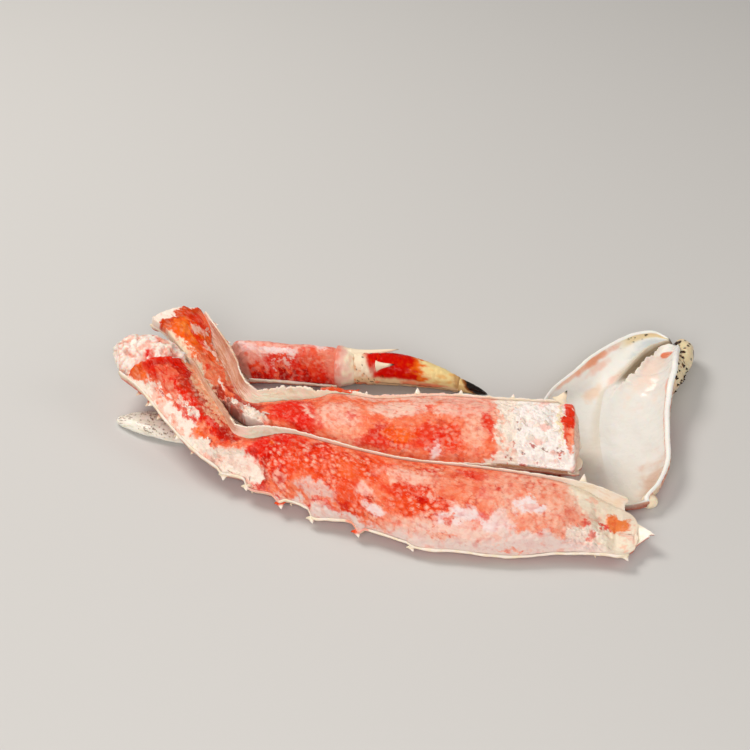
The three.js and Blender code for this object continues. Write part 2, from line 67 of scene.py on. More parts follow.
REAR_LEG = [
    (-114, 2, 33, -87, 13.5, 32, 0.8, -8, 8),
    (-107, -1.5, 30, -83.5, 8.5, 29.5, 0.86, -6, 8),
    (-95.5, -14.5, 25.5, -75, -4.5, 25.5, 0.92, -4, 8),
    (-86, -29.5, 21, -69, -16.5, 22, 0.95, 0, 8),
    (-77, -42, 17, -64.5, -28.5, 19.5, 1, 0, 8),
    (-66.5, -52, 14.5, -58, -32, 18.5, 0.98, 4, 8),
    (-50, -61.5, 12.5, -46, -30.5, 19, 0.93, 8, 10),
    (-30.5, -71.5, 12.5, -28, -36, 21, 0.91, 10, 12),
    (-1.5, -83, 14.5, 0, -44.5, 23, 0.91, 10, 14),
    (30.5, -88, 16.5, 32, -46, 25.5, 0.8, 6, 14),
    (61, -91, 18.5, 63, -53, 28.5, 0.68, 4, 14),
    (92, -98.5, 20.5, 95, -60, 32, 0.6, 4, 14),
]
TIP_SEGMENT = [
    (-64, -10.8, 8, -80, 12.7, 10, 0.9, 10, 4),
    (-51, -12.6, 8, -56, 9.3, 10, 0.88, 10, 4),
    (-36, -14.7, 8, -35, 6.4, 10, 0.86, 10, 4),
    (-19.5, -17, 8, -16.8, 3.8, 10, 0.86, 10, 4),
]


# Noise and small number helpers
NOISE_SEED = 7
NOISE_CELLS = 256
NOISE_GAIN = 1.6
LAYER_SHIFT = 17.3


def noise_tables():
    draw = np.random.default_rng(NOISE_SEED)
    order = draw.permutation(NOISE_CELLS)
    slopes = draw.normal(size=(NOISE_CELLS, 3))
    return np.tile(order, 3), slopes / np.linalg.norm(slopes, axis=1)[:, None]


NOISE_ORDER, NOISE_SLOPES = noise_tables()


def smooth_noise(points):
    """Seeded smooth noise in three dimensions, from about -1 to 1."""
    cell = np.floor(points).astype(int)
    part = points - cell
    ease = part * part * part * (part * (part * 6 - 15) + 10)
    total = np.zeros(points.shape[:-1])
    for corner in np.ndindex(2, 2, 2):
        c = (cell + corner) % NOISE_CELLS
        key = NOISE_ORDER[NOISE_ORDER[NOISE_ORDER[c[..., 0]] + c[..., 1]] + c[..., 2]]
        near = (NOISE_SLOPES[key] * (part - corner)).sum(-1)
        total += np.prod(np.where(np.array(corner), ease, 1 - ease), axis=-1) * near
    return total * NOISE_GAIN


def noise(points, size, layers=4, fall=0.5):
    """Layers of noise, the first of that size in millimetres, each next one half as large and weaker."""
    total = 0.0
    strength = 1.0
    for layer in range(layers):
        total = total + strength * smooth_noise(points / size * 2**layer + LAYER_SHIFT * layer)
        strength *= fall
    return total


def smooth_step(low, high, value):
    t = np.clip((value - low) / (high - low), 0, 1)
    return t * t * (3 - 2 * t)


def rounded(value, exponent=SIDE_EXPONENT):
    return np.sign(value) * np.abs(value) ** exponent


def unit(vectors):
    return vectors / np.linalg.norm(vectors, axis=-1, keepdims=True)


def stacked(*parts):
    """Points whose coordinates are the parts, spread over one shape."""
    return np.stack(np.broadcast_arrays(*parts), axis=-1)


def full_turn(count):
    return np.linspace(0, 2 * np.pi, count, endpoint=False)


def from_middle(value, low, high):
    """How far a value is from the middle of a range: -1 at its low end, 1 at its high end."""
    return (value - (low + high) / 2) / ((high - low) / 2)


def oval(s, share, s_from, s_to, from_share, to_share):
    """Distance from the middle of an oval, 1 at its edge."""
    return np.hypot(from_middle(s, s_from, s_to), from_middle(share, from_share, to_share))


def running_length(points):
    steps = np.linalg.norm(np.diff(points, axis=0), axis=1)
    return np.concatenate([[0], np.cumsum(steps)])


def line_value(knots, values, s):
    """Smooth curve through rows of values at rising knots. Its end pieces run on beyond the knots."""
    last = len(knots) - 1
    secants = np.diff(values, axis=0) / np.diff(knots)[:, None]
    slopes = np.empty_like(values)
    slopes[0] = secants[0]
    slopes[last] = secants[-1]
    slopes[1:last] = (values[2:] - values[:-2]) / (knots[2:] - knots[:-2])[:, None]
    i = np.clip(np.searchsorted(knots, s, side="left") - 1, 0, last - 1)
    step = (knots[i + 1] - knots[i])[..., None]
    t = (s - knots[i])[..., None] / step
    return (
        values[i] * (1 + 2 * t) * (1 - t) ** 2
        + slopes[i] * step * t * (1 - t) ** 2
        + values[i + 1] * t * t * (3 - 2 * t)
        + slopes[i + 1] * step * t * t * (t - 1)
    )


def curve(line, s):
    """Value at s of a smooth line given by its places and values."""
    table = np.array(line, float)
    return line_value(table[:, 0], table[:, 1:], s)[..., 0]


# Colours, as seen in daylight
def tone(red, green, blue):
    """A display colour from 0 to 255 as linear light."""
    value = np.array([red, green, blue]) / 255
    return np.where(value <= 0.04045, value / 12.92, ((value + 0.055) / 1.055) ** 2.4)


WHITE = tone(248, 234, 221)
CREAM = tone(246, 228, 200)
BEIGE = tone(226, 184, 146)
BLUSH = tone(248, 205, 187)
PINK = tone(245, 124, 84)
SALMON = tone(240, 76, 24)
ORANGE = tone(246, 100, 8)
AMBER = tone(240, 160, 66)
RED = tone(230, 26, 0)
DEEP_RED = tone(178, 6, 0)
BROWN = tone(110, 50, 30)
DARK = tone(28, 18, 14)
GREY = tone(205, 205, 200)
CURD = tone(248, 200, 178)
CLOUD = tone(244, 229, 228)
END_CREAM = tone(242, 230, 210)
END_WHITE = tone(251, 243, 238)
FRONT_WHITE = tone(234, 211, 203)


def paint(colours, *layers):
    """Lays colours over a colour or an array of colours, each by its weight."""
    for weight, colour in layers:
        w = np.clip(weight, 0, 1)[..., None]
        colours = colours * (1 - w) + colour * w
    return colours


def redness(colours):
    """How strongly a colour is pigmented, from 0 for white to 1 for red."""
    return np.clip(1.25 * (colours[..., 0] - colours[..., 1]) / np.maximum(colours[..., 0], 0.05), 0, 1)


# Tracks and troughs
CORE_DROP = 0.3
FLOOR_BLEND = 1.2


class Track:
    """A smooth run of frames along a trough, from its stations."""

    def __init__(self, stations):
        self.rows = np.array(stations, float)
        self.knots = running_length((self.rows[:, :3] + self.rows[:, 3:6]) / 2)

    def middle(self, s):
        found = line_value(self.knots, self.rows, s)
        return (found[..., :3] + found[..., 3:6]) / 2

    def frame(self, s):
        found = line_value(self.knots, self.rows, s)
        front = found[..., :3]
        back = found[..., 3:6]
        width = np.linalg.norm(back - front, axis=-1)
        across = (back - front) / width[..., None]
        along = unit(self.middle(s + 0.5) - self.middle(s - 0.5))
        return {
            "front": front,
            "back": back,
            "middle": (front + back) / 2,
            "across": across,
            "along": along,
            "down": unit(np.cross(across, along)),
            "width": width,
            "flattening": found[..., 6],
            "cut": np.radians(found[..., 7]),
            "tuck": np.radians(found[..., 8]),
        }

    def frame_at(self, at):
        return {k: v[0] for k, v in self.frame(np.array([at])).items()}


def trough_point(f, angle, inset, lowest):
    """Point of the superellipse section, from the front rim through the belly to the back rim."""
    run = rounded(np.cos(f["cut"])) + rounded(np.cos(f["tuck"]))
    fall = rounded(np.sin(f["cut"])) + rounded(np.sin(f["tuck"]))
    half_width = f["width"] / np.hypot(run, f["flattening"] * fall)
    half_height = f["flattening"] * half_width
    slant = np.arctan2(f["flattening"] * fall, run)
    middle_x = half_width * (rounded(np.cos(f["tuck"])) - rounded(np.cos(f["cut"]))) / 2
    middle_y = half_height * (rounded(np.sin(f["cut"])) - rounded(np.sin(f["tuck"]))) / 2
    x = -(half_width - inset) * rounded(np.cos(angle)) - middle_x
    y = (half_height - inset) * rounded(np.sin(angle)) - middle_y
    sideways = x * np.cos(slant) - y * np.sin(slant)
    downward = x * np.sin(slant) + y * np.cos(slant)
    point = f["middle"] + f["across"] * sideways[..., None] + f["down"] * downward[..., None]
    point[..., 2] = soft_floor(point[..., 2], lowest)
    return point


def core(f):
    """A line inside the trough, a little below its rims, that its walls face away from."""
    return f["middle"] + f["down"] * (CORE_DROP * f["width"] / 2)[..., None]


def soft_floor(z, lowest):
    """Keeps heights above a level, with a soft turn where they meet it."""
    lift = np.maximum(FLOOR_BLEND - np.abs(z - lowest), 0) ** 2 / (4 * FLOOR_BLEND)
    return np.maximum(z, lowest) + lift


class LegForm:
    """What both the shell and the meat of one leg follow: its track and the lines of its rims."""

    def __init__(self, stations, front_line=((-8, 0), (70, 0)), back_line=((-8, 0), (70, 0))):
        self.track = Track(stations)
        self.front_line = front_line
        self.back_line = back_line

    def shift(self, f, s, share):
        """How far a place is moved across the leg, so that the rims follow their lines."""
        near = curve(self.front_line, s) * smooth_step(0.5, 0.0, share)
        far = curve(self.back_line, s) * smooth_step(0.5, 1.0, share)
        return f["across"] * (f["width"] * (near - far))[..., None]

    def wall_foot(self, at, share):
        """A place on the outer wall, the way out of it and the way along the leg."""
        at = np.array([at])
        f = self.track.frame(at)
        angle = f["cut"] + share * (np.pi + f["tuck"] - f["cut"])
        foot = trough_point(f, angle, 0.0, FLOOR_GAP) + self.shift(f, at, share)
        return foot[0], unit(foot - core(f))[0], f["along"][0]


# Mesh making
class Body:
    """Collects vertices, faces and painted values of one piece."""

    def __init__(self):
        self.points = []
        self.quads = [np.zeros((0, 4), int)]
        self.triangles = [np.zeros((0, 3), int)]
        self.colours = []
        self.mottles = []
        self.runs = []
        self.count = 0

    def add(self, points, quads, triangles, colours, mottle=0.0, run=None):
        points = points.reshape(-1, 3)
        self.points.append(points)
        self.quads.append(quads + self.count)
        self.triangles.append(triangles + self.count)
        self.colours.append(colours.reshape(-1, 3))
        self.mottles.append(np.broadcast_to(mottle, len(points)))
        self.runs.append(points if run is None else run.reshape(-1, 3))
        self.count += len(points)

    def add_rings(self, rings, ends, shades, mottle=0.0, run=None):
        """Closed rings that follow each other, closed by a fan round each of two end points."""
        rows, count = rings.shape[:2]
        points = np.concatenate([rings.reshape(-1, 3), ends])
        faces = facing_out(points, ring_quads(rows, count), full_caps(rows, count))
        self.add(points, *faces, shades, mottle, run)

    def make(self, name, material, nodes):
        points = (np.concatenate(self.points) - LAYOUT_CENTRE) * MM
        quads = np.concatenate(self.quads)
        triangles = np.concatenate(self.triangles)
        mesh = bpy.data.meshes.new(name)
        mesh.vertices.add(len(points))
        mesh.vertices.foreach_set("co", points.astype(np.float32).ravel())
        loops = np.concatenate([quads.ravel(), triangles.ravel()])
        mesh.loops.add(len(loops))
        mesh.loops.foreach_set("vertex_index", loops.astype(np.int32))
        sizes = np.concatenate([np.full(len(quads), 4), np.full(len(triangles), 3)])
        starts = np.concatenate([[0], np.cumsum(sizes)[:-1]])
        mesh.polygons.add(len(sizes))
        mesh.polygons.foreach_set("loop_start", starts.astype(np.int32))
        mesh.polygons.foreach_set("use_smooth", np.ones(len(sizes), bool))
        colours = np.concatenate(self.colours)
        rgba = np.concatenate([colours, np.ones((len(points), 1))], axis=1)
        for label, kind, field, values in (
            ("paint", "FLOAT_COLOR", "color", rgba),
            ("mottle", "FLOAT", "value", np.concatenate(self.mottles)),
            ("run", "FLOAT_VECTOR", "vector", np.concatenate(self.runs)),
        ):
            attribute = mesh.attributes.new(label, kind, "POINT")
            attribute.data.foreach_set(field, values.astype(np.float32).ravel())
        mesh.update()
        mesh.validate()
        piece = bpy.data.objects.new(name, mesh)
        bpy.context.scene.collection.objects.link(piece)
        mesh.materials.append(material)
        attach(piece, "root")
        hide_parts(*nodes)


def ring_quads(rows, count):
    """Faces between closed rings that follow each other."""
    i = np.arange(rows - 1)[:, None] * count
    j = np.arange(count)[None, :]
    k = (j + 1) % count
    return np.stack([i + j, i + k, i + k + count, i + j + count], axis=-1).reshape(-1, 4)


def full_caps(rows, count):
    """Fans that close the first and the last ring, each round a point of its own."""
    j = np.arange(count)
    k = (j + 1) % count
    first = rows * count
    last = (rows - 1) * count
    return np.concatenate([stacked(first, k, j), stacked(first + 1, last + j, last + k)])


def facing_out(points, quads, triangles):
    """The same faces, turned round if the closed surface faces in."""
    flat = points.reshape(-1, 3)
    flat = flat - flat.mean(axis=0)
    halves = np.concatenate([quads[:, [0, 1, 2]], quads[:, [0, 2, 3]], triangles])
    a, b, c = (flat[halves[:, k]] for k in range(3))
    if (a * np.cross(b, c)).sum() < 0:
        return quads[:, ::-1], triangles[:, ::-1]
    return quads, triangles


def with_end_shades(colours):
    """A grid of colours as a list, with one more for each of two end points."""
    return np.concatenate([colours.reshape(-1, 3), colours[[0, -1], 0]])


# Spines: round, flared at the foot and a little bent, with the foot sunk into the wall
SPINE_SIDES = 14
SPINE_RINGS = 16
SPINE_ROOT = 0.7


def add_spine(
    body, foot, direction, length, radius, tip_colour=WHITE, foot_colour=CREAM, bend=(0, 0, 0), tip_from=0.25,
    wide_way=(0.31, 0.17, 0.93), flat=1.0,
):
    direction = unit(np.asarray(direction, float))
    side = np.asarray(wide_way, float)
    side = unit(side - direction * (side @ direction))
    other = np.cross(direction, side)
    share = np.linspace(0, 1, SPINE_RINGS)
    rise = share * (length + SPINE_ROOT) - SPINE_ROOT
    girth = radius * (0.72 * (1 - share) ** 0.65 + 0.5 * (1 - share) ** 5)
    girth[-1] = 0.06 * radius
    turn = full_turn(SPINE_SIDES)
    centre = foot + rise[:, None] * direction + (share**2)[:, None] * np.asarray(bend, float)
    circle = np.cos(turn)[:, None] * side + flat * np.sin(turn)[:, None] * other
    rings = centre[:, None] + girth[:, None, None] * circle
    rings[..., 2] = np.maximum(rings[..., 2], FLOOR_GAP)
    ends = np.array([centre[0], centre[-1] + direction * 0.1 * radius])
    colours = paint(foot_colour, (smooth_step(tip_from, 0.6 * tip_from + 0.6, share), tip_colour))
    shades = np.concatenate([np.repeat(colours, SPINE_SIDES, axis=0), [foot_colour, tip_colour]])
    body.add_rings(rings, ends, shades)


# Leg shells
SHELL_STEP = 0.6
SHELL_POINTS = 96
RIM_TURNS = np.radians([40, 90, 140])
RIM_SHARE = 0.03


def rim_edge(outside, inside, beside):
    """Points of a half round over a rim, which stands up from the place beside it."""
    upward = unit(outside - beside)
    middle = (outside + inside) / 2
    half_wall = (outside - inside) / 2
    bulge = np.linalg.norm(half_wall, axis=-1)[..., None]
    rise = upward * bulge
    return np.stack([middle + half_wall * np.cos(turn) + rise * np.sin(turn) for turn in RIM_TURNS], axis=1)


def shell_faces(rows, count):
    """Quads and triangles of a wall's closed ring: outer side, back rim, inner side, front rim."""
    n = SHELL_POINTS
    turns = len(RIM_TURNS)
    last = (rows - 1) * count
    across = 2 * n + turns - 1
    caps = []
    for j in range(n - 1):
        caps.append((j, across - j, across - j - 1, j + 1))
        caps.append((last + j, last + j + 1, last + across - j - 1, last + across - j))
    corners = []
    for base, first, second in ((n, n - 1, n + turns), (2 * n + turns, across, 0)):
        corners += [(first, base, base + 1), (first, base + 1, second), (base + 1, base + 2, second)]
    corners = np.array(corners)
    quads = np.concatenate([ring_quads(rows, count), caps])
    return quads, np.concatenate([corners[:, ::-1], corners + last])


def leg_shell(
    body, form, start_line, end_line, rim_fray, lower_front, lower_back, red=0.9, front_tints=(),
    back_tints=(), stains=(), folds=(), marks=(),
):
    share = np.linspace(0, 1, SHELL_POINTS)
    starts = curve(start_line, share) + 0.7 * noise(stacked(share * 30, 0, 0), 3, 3)
    ends = curve(end_line, share) + 1.3 * noise(stacked(share * 30, 9, 0), 3, 3)
    rows = int((ends.max() - starts.min()) / SHELL_STEP)
    s = starts + np.linspace(0, 1, rows)[:, None] * (ends - starts)
    share = share + s * 0
    f = form.track.frame(s)
    half = f["width"] / 2
    place = stacked(s, 0, 3)
    front_drop, back_drop = (rim_fray * np.abs(noise(place + far, 4.2, 4, 0.65)) / half for far in (0, 50))
    low = f["cut"] + front_drop + curve(lower_front, s) / half
    high = np.pi + f["tuck"] - back_drop - curve(lower_back, s) / half
    angle = low + share * (high - low)
    raw = trough_point(f, angle, 0.0, FLOOR_GAP)
    out = unit(raw - core(f))
    outer = raw + out * (0.35 * noise(raw, 7, 4))[..., None]
    thick = WALL * (1 + 0.15 * noise(raw + 80, 11, 2))
    inner = trough_point(f, angle, thick, FLOOR_GAP + WALL)
    for *ends, height in folds:
        fold = 1 - np.abs(noise(stacked(s / 4, share * 30, 0), 4, 3))
        inner = inner - out * (height * fold**3 * smooth_step(1, 0.6, oval(s, share, *ends)))[..., None]
    shift = form.shift(f, s, share)
    outer = outer + shift
    inner = inner + shift
    outer[..., 2] = soft_floor(outer[..., 2], FLOOR_GAP)
    inner[..., 2] = np.maximum(inner[..., 2], outer[..., 2] + 0.2 * WALL)
    back_edge = rim_edge(outer[:, -1], inner[:, -1], outer[:, -3])
    front_edge = rim_edge(inner[:, 0], outer[:, 0], inner[:, 2])
    ring = np.concatenate([outer, back_edge, inner[:, ::-1], front_edge], axis=1)
    outer_colour = shell_outside(raw, s, share, red, marks)
    inner_colour = shell_inside(inner, s, share, stains)[:, ::-1]
    front_rim = rim_tint(s[:, :1], front_tints)
    back_rim = rim_tint(s[:, -1:], back_tints)
    colours = np.concatenate([outer_colour, back_rim, inner_colour, front_rim], axis=1)
    turns = len(RIM_TURNS)
    run = stacked(s, angle * half, 0)
    run = np.concatenate([run, run[:, -turns:], run[:, ::-1], run[:, :turns]], axis=1)
    faces = facing_out(ring, *shell_faces(rows, ring.shape[1]))
    body.add(ring, *faces, colours, 0.0, run)


def rim_tint(s, tints):
    """Colour of a rim: cream, with tints over some lengths."""
    place = np.repeat(s, len(RIM_TURNS), axis=1)
    spots = noise(stacked(place, 0, 0), 5, 4)
    colours = paint(WHITE, (smooth_step(-0.3, 0.5, spots), CREAM))
    for *ends, colour, strength in tints:
        reach = np.abs(from_middle(place, *ends)) + 0.3 * spots
        colours = paint(colours, (strength * smooth_step(1.1, 0.8, reach), colour))
    return colours


def shell_outside(points, s, share, red, marks):
    """Cream beside the rims, blushing to red-orange down the sides, with pale blotches."""
    from_rim = np.minimum(share, 1 - share) * 2
    blot = noise(points + 30, 14, 4)
    fine = noise(points + 60, 3, 3)
    colours = paint(
        CREAM,
        (smooth_step(0.02, 0.2, from_rim + 0.07 * blot), SALMON),
        (red * smooth_step(0.08, 0.34, from_rim + 0.12 * blot), tone(206, 62, 30)),
        (0.75 * smooth_step(0.78, 1.0, from_rim + 0.25 * blot), BEIGE),
        (0.55 * smooth_step(0.25, 0.8, blot + 0.3 * fine), CREAM),
        (0.35 * smooth_step(0.2, 0.7, fine), DEEP_RED),
    )
    for *ends, colour, strength in marks:
        reach = oval(s, share, *ends) + 0.25 * fine
        colours = paint(colours, (strength * smooth_step(1.1, 0.8, reach), colour))
    return colours


def shell_inside(points, s, share, stains):
    """Smooth cream, with fibrous stains: ends along (mm), ends round the wall (shares), colour, strength. The
    stains carry the wall's own colour with painted shade over it, and a pale green tint against pink bounced
    light.
    """
    broad = noise(points + 20, 10, 3)
    fibres = noise(stacked(s / 9, share * 30, 0), 1.0, 4, 0.7)
    colours = paint(tone(252, 243, 230), (0.7 * smooth_step(-0.3, 0.6, broad), CREAM))
    edge = 1 + 0.2 * broad + 0.15 * fibres
    for s_from, s_to, from_share, to_share, colour, strength in stains:
        along = np.abs(from_middle(s, s_from, s_to))
        around = np.abs(from_middle(share, from_share, to_share))
        weight = strength * smooth_step(edge, edge - 0.3, np.maximum(along, around))
        colours = paint(colours, (weight * (0.6 + 0.4 * smooth_step(-0.3, 0.4, fibres)), colour))
    return paint(colours, (0.3 * smooth_step(0.2, 0.7, fibres), BEIGE))


def rim_spines(body, form, spines):
    """Spines that stand at a rim: place along the track, rim, length, lean along the track, red foot."""
    for at, rim, length, lean, foot_red in spines:
        foot, out, along = form.wall_foot(at, RIM_SHARE if rim == "front" else 1 - RIM_SHARE)
        foot_colour = SALMON if foot_red else CREAM
        radius = 1.3 + 0.28 * length
        way = out + lean * along
        add_spine(body, foot, way, 0.75 * length, radius, WHITE, foot_colour, wide_way=along, flat=0.45)


def wall_spines(body, form, rows, seed):
    """Rows of spines down a side wall, each varied a little: share, ends along, pitch, length."""
    draw = np.random.default_rng(seed)
    for share, start, end, pitch, length in rows:
        at = start + draw.random() * pitch
        while at < end:
            foot, out, along = form.wall_foot(at, share + draw.normal() * 0.02)
            size = length * (0.7 + 0.6 * draw.random())
            out = unit(out + 0.3 * along)
            if foot[2] + out[2] * size > FLOOR_GAP + 0.6:
                add_spine(body, foot, out, size, 0.8 + 0.4 * size, CREAM, tone(206, 74, 40))
            at += pitch * (0.7 + 0.6 * draw.random())


# Meat
MEAT_STEP = 0.45
CAP_ROWS = 18
TOP_POINTS = 140
UNDER_POINTS = 36
MEAT_INSET = WALL + 0.1
SOFT = 0.24
PLAIN_CURDS = 0.25
CAP_SCALE = 0.02


def leg_meat(
    body, form, start, end, front_sunk, back_sunk, crown, caps, patches, fade=(300, 320), roundness=2.4,
    round_start=2.0, round_end=2.0, relief=(), crumbs=(), curds=(), under_tints=(),
):
    """Meat in a trough. A patch: ends along (mm) and across (shares), colour, strength, turn, softness."""
    turn_in = 1 - np.cos(np.linspace(0, np.pi / 2, CAP_ROWS))
    head = start + round_start * turn_in[:-1]
    tail = end - round_end * turn_in[::-1][1:]
    body_rows = int((tail[0] - head[-1]) / MEAT_STEP)
    s = np.concatenate([head, np.linspace(head[-1], tail[0], body_rows)[1:-1], tail])
    f = form.track.frame(s)
    half = f["width"] / 2
    front_angle = f["cut"] + curve(front_sunk, s) / half
    back_angle = np.pi + f["tuck"] - curve(back_sunk, s) / half
    under_share = np.linspace(0, 1, UNDER_POINTS)
    angle = front_angle[:, None] + under_share * (back_angle - front_angle)[:, None]
    shape = angle.shape
    wide = {k: np.broadcast_to(v[:, None], shape + v.shape[1:]) for k, v in f.items()}
    under = trough_point(wide, angle, MEAT_INSET, FLOOR_GAP + MEAT_INSET)
    under = under + form.shift(wide, s[:, None] + angle * 0, under_share)
    t = np.linspace(0, 1, TOP_POINTS) + s[:, None] * 0
    chord = under[:, :1] + (under[:, -1:] - under[:, :1]) * t[..., None]
    y = ((chord - f["front"][:, None]) * f["across"][:, None]).sum(axis=-1)
    place = s[:, None] + t * 0
    width = f["width"][:, None]
    bulge = curve(crown, s)[:, None] * (1 - np.abs(2 * t - 1) ** roundness)
    arc = np.cumsum(np.hypot(np.diff(y, axis=1), np.diff(bulge, axis=1)), axis=1)
    arc = np.concatenate([place[:, :1] * 0, arc], axis=1)
    arc = arc + (y - arc)[:, TOP_POINTS // 2][:, None]
    flat = stacked(place, arc, 0)
    fray_along, fray_across = (2.3 * noise(flat + far, 7, 5, 0.74) for far in (11, 47))

    def weight(s_from, s_to, t_from, t_to, turn=0, soft=SOFT):
        """Weight of one oval patch, its edge frayed by noise."""
        dx = place - (s_from + s_to) / 2 + fray_along
        dy = y - width * (t_from + t_to) / 2 + fray_across
        c, n = math.cos(math.radians(turn)), math.sin(math.radians(turn))
        breadth = width * (t_to - t_from) / 2
        reach = np.hypot((dx * c + dy * n) / ((s_to - s_from) / 2), (dy * c - dx * n) / breadth)
        return smooth_step(1 + soft, 1 - soft, reach)

    rise = bulge + 0.7 * noise(flat / [1.5, 1, 1], 9, 4)
    rise = rise - 0.5 * np.abs(noise(flat / [1.4, 1, 1] + 31, 3.4, 2))
    rise = rise + 0.1 * noise(flat + 71, 0.9, 1)
    for *oval_patch, height in relief:
        rise = rise + height * weight(*oval_patch)
    lumps = noise(flat + 300, 3.0, 4, 0.7) - np.abs(noise(flat + 350, 4.5, 3, 0.6))
    for *oval_patch, height in crumbs:
        rise = rise + height * lumps * weight(*oval_patch)
    rise = rise * smooth_step(0, 0.03, np.minimum(t, 1 - t))
    top = chord - f["down"][:, None] * rise[..., None]
    wall_at = np.linspace(0, 1, TOP_POINTS) * (UNDER_POINTS - 1)
    wall_low = np.clip(wall_at.astype(int), 0, UNDER_POINTS - 2)
    wall_share = (wall_at - wall_low)[None, :, None]
    wall = under[:, wall_low] * (1 - wall_share) + under[:, wall_low + 1] * wall_share
    faded = smooth_step(*fade, place + 5 * noise(flat + 400, 9, 3))[..., None]
    top = top * (1 - faded) + wall * faded
    ring = np.concatenate([under, top[:, 1:-1][:, ::-1]], axis=1)
    centre = (under[:, 0] + under[:, -1]) / 2 * 0.8 + under[:, UNDER_POINTS // 2] * 0.2
    left = np.clip((s - start) / round_start, 0, 1)
    right = np.clip((end - s) / round_end, 0, 1)
    scale = CAP_SCALE + (1 - CAP_SCALE) * np.sqrt(1 - (1 - np.minimum(left, right)) ** 2)
    ring = centre[:, None] + (ring - centre[:, None]) * scale[:, None, None]
    cap = smooth_step(0.95, 0.8, scale)[:, None, None]
    ring = ring + f["along"][:, None] * (cap * (0.9 * noise(ring + 500, 5, 4))[..., None])

    colours = PINK
    for s_from, s_to, t_from, t_to, colour, strength, *turn_and_softness in patches:
        covered = weight(s_from, s_to, t_from, t_to, *turn_and_softness)
        colours = paint(colours, (strength * covered, colour))
    colours = grain_colours(colours, flat)
    side = np.arange(UNDER_POINTS)[None, :, None]
    under_colour = np.broadcast_to(BLUSH, under.shape)
    for s_from, s_to, colour, strength in under_tints:
        reach = np.abs(from_middle(s[:, None], s_from, s_to))
        under_colour = paint(under_colour, (strength * smooth_step(1.1, 0.8, reach), colour))
    far_side = UNDER_POINTS - 1 - side
    under_colour = under_colour + (colours[:, :1] - under_colour) * smooth_step(9, 2, side)
    under_colour = under_colour + (colours[:, -1:] - under_colour) * smooth_step(12, 4, far_side)
    ring_colour = np.concatenate([under_colour, colours[:, 1:-1][:, ::-1]], axis=1)
    cap_colour = np.where((s < (start + end) / 2)[:, None, None], *caps)
    ring_colour = ring_colour + (cap_colour - ring_colour) * 0.9 * cap
    cap_spots = smooth_step(0.1, 0.8, noise(ring + 540, 6, 3))[..., None]
    ring_colour = ring_colour + (BLUSH - ring_colour) * 0.7 * cap * cap_spots
    curdled = np.full(place.shape, PLAIN_CURDS)
    for *oval_patch, strength in curds:
        curdled = np.maximum(curdled, strength * weight(*oval_patch))
    curdled = np.concatenate([np.full(shape, PLAIN_CURDS), curdled[:, 1:-1][:, ::-1]], axis=1)
    curdled = np.concatenate([curdled.reshape(-1), [PLAIN_CURDS, PLAIN_CURDS]])
    run_under = stacked(s[:, None], under_share * width, 30)
    run = np.concatenate([run_under, flat[:, 1:-1][:, ::-1]], axis=1)
    runs = np.concatenate([run.reshape(-1, 3), run[[0, -1], 0]])
    shades = np.concatenate([ring_colour.reshape(-1, 3), ring_colour[[0, -1], ring.shape[1] // 2]])
    body.add_rings(ring, centre[[0, -1]], shades, redness(shades) * curdled, runs)
    return s, ring[:, UNDER_POINTS:][:, ::-1]


def grain_colours(colours, flat):
    """Pale clots and deeper specks over pigmented meat, faint pink clouds over the white."""
    strength = redness(colours)
    clots = noise(flat / [1.25, 1, 1] + 90, 3.2, 4, 0.62)
    broad = noise(flat + 130, 11, 3)
    veins = np.abs(noise(flat / [1.6, 1, 1] + 210, 6, 3))
    middling = smooth_step(0.3, 0.5, strength) * smooth_step(1, 0.7, strength)
    freckles = noise(flat + 250, 2.4, 3, 0.6)
    clouds = noise(flat / [1.5, 1, 1] + 170, 5, 4, 0.6)
    return paint(
        colours,
        (strength * 0.24 * smooth_step(0.25, 0.7, clots + 0.4 * broad), CURD),
        (strength**2 * 0.45 * smooth_step(0.1, 0.0, veins) * smooth_step(-0.1, 0.5, broad), DEEP_RED),
        (strength * 0.35 * smooth_step(0.15, 0.6, 0.4 * broad - clots), RED),
        (middling * 0.5 * smooth_step(0.25, 0.55, freckles), tone(238, 96, 52)),
        (middling * 0.55 * smooth_step(-0.2, -0.5, freckles), CURD),
        ((1 - strength) * 0.4 * smooth_step(0.25, 0.7, clouds), PINK),
    )


# Scraps and round forms
def scatter_scraps(body, surface_of, s_from, s_to, t_from, t_to, count, size, colour, seed):
    """Small torn scraps that lie on the meat, half sunk into it."""
    s, top = surface_of
    draw = np.random.default_rng(seed)
    for _ in range(count):
        at = s_from + (s_to - s_from) * draw.random()
        share = t_from + (t_to - t_from) * draw.random()
        row = min(int(np.searchsorted(s, at)), len(s) - 2)
        column = int(np.clip(share, 0.01, 0.98) * (top.shape[1] - 1))
        foot = top[row, column]
        next_row = top[row + 1, column] - foot
        next_column = top[row, min(column + 1, top.shape[1] - 1)] - top[row, column - 1]
        up = unit(np.cross(unit(next_row), unit(next_column)))
        up = up if up[2] > 0 else -up
        long_way = unit(draw.normal(size=3) - 0.9 * up * draw.normal())
        long_way = unit(long_way - 0.92 * (long_way @ up) * up)
        length = size * (0.5 + draw.random())
        height = length * (0.12 + 0.16 * draw.random())
        reach = (length, length * (0.4 + 0.4 * draw.random()), height)
        sunk = foot - 0.35 * height * up
        add_flake(body, sunk, long_way, np.cross(up, long_way), reach, colour, 0.25 * height, 14, 7)


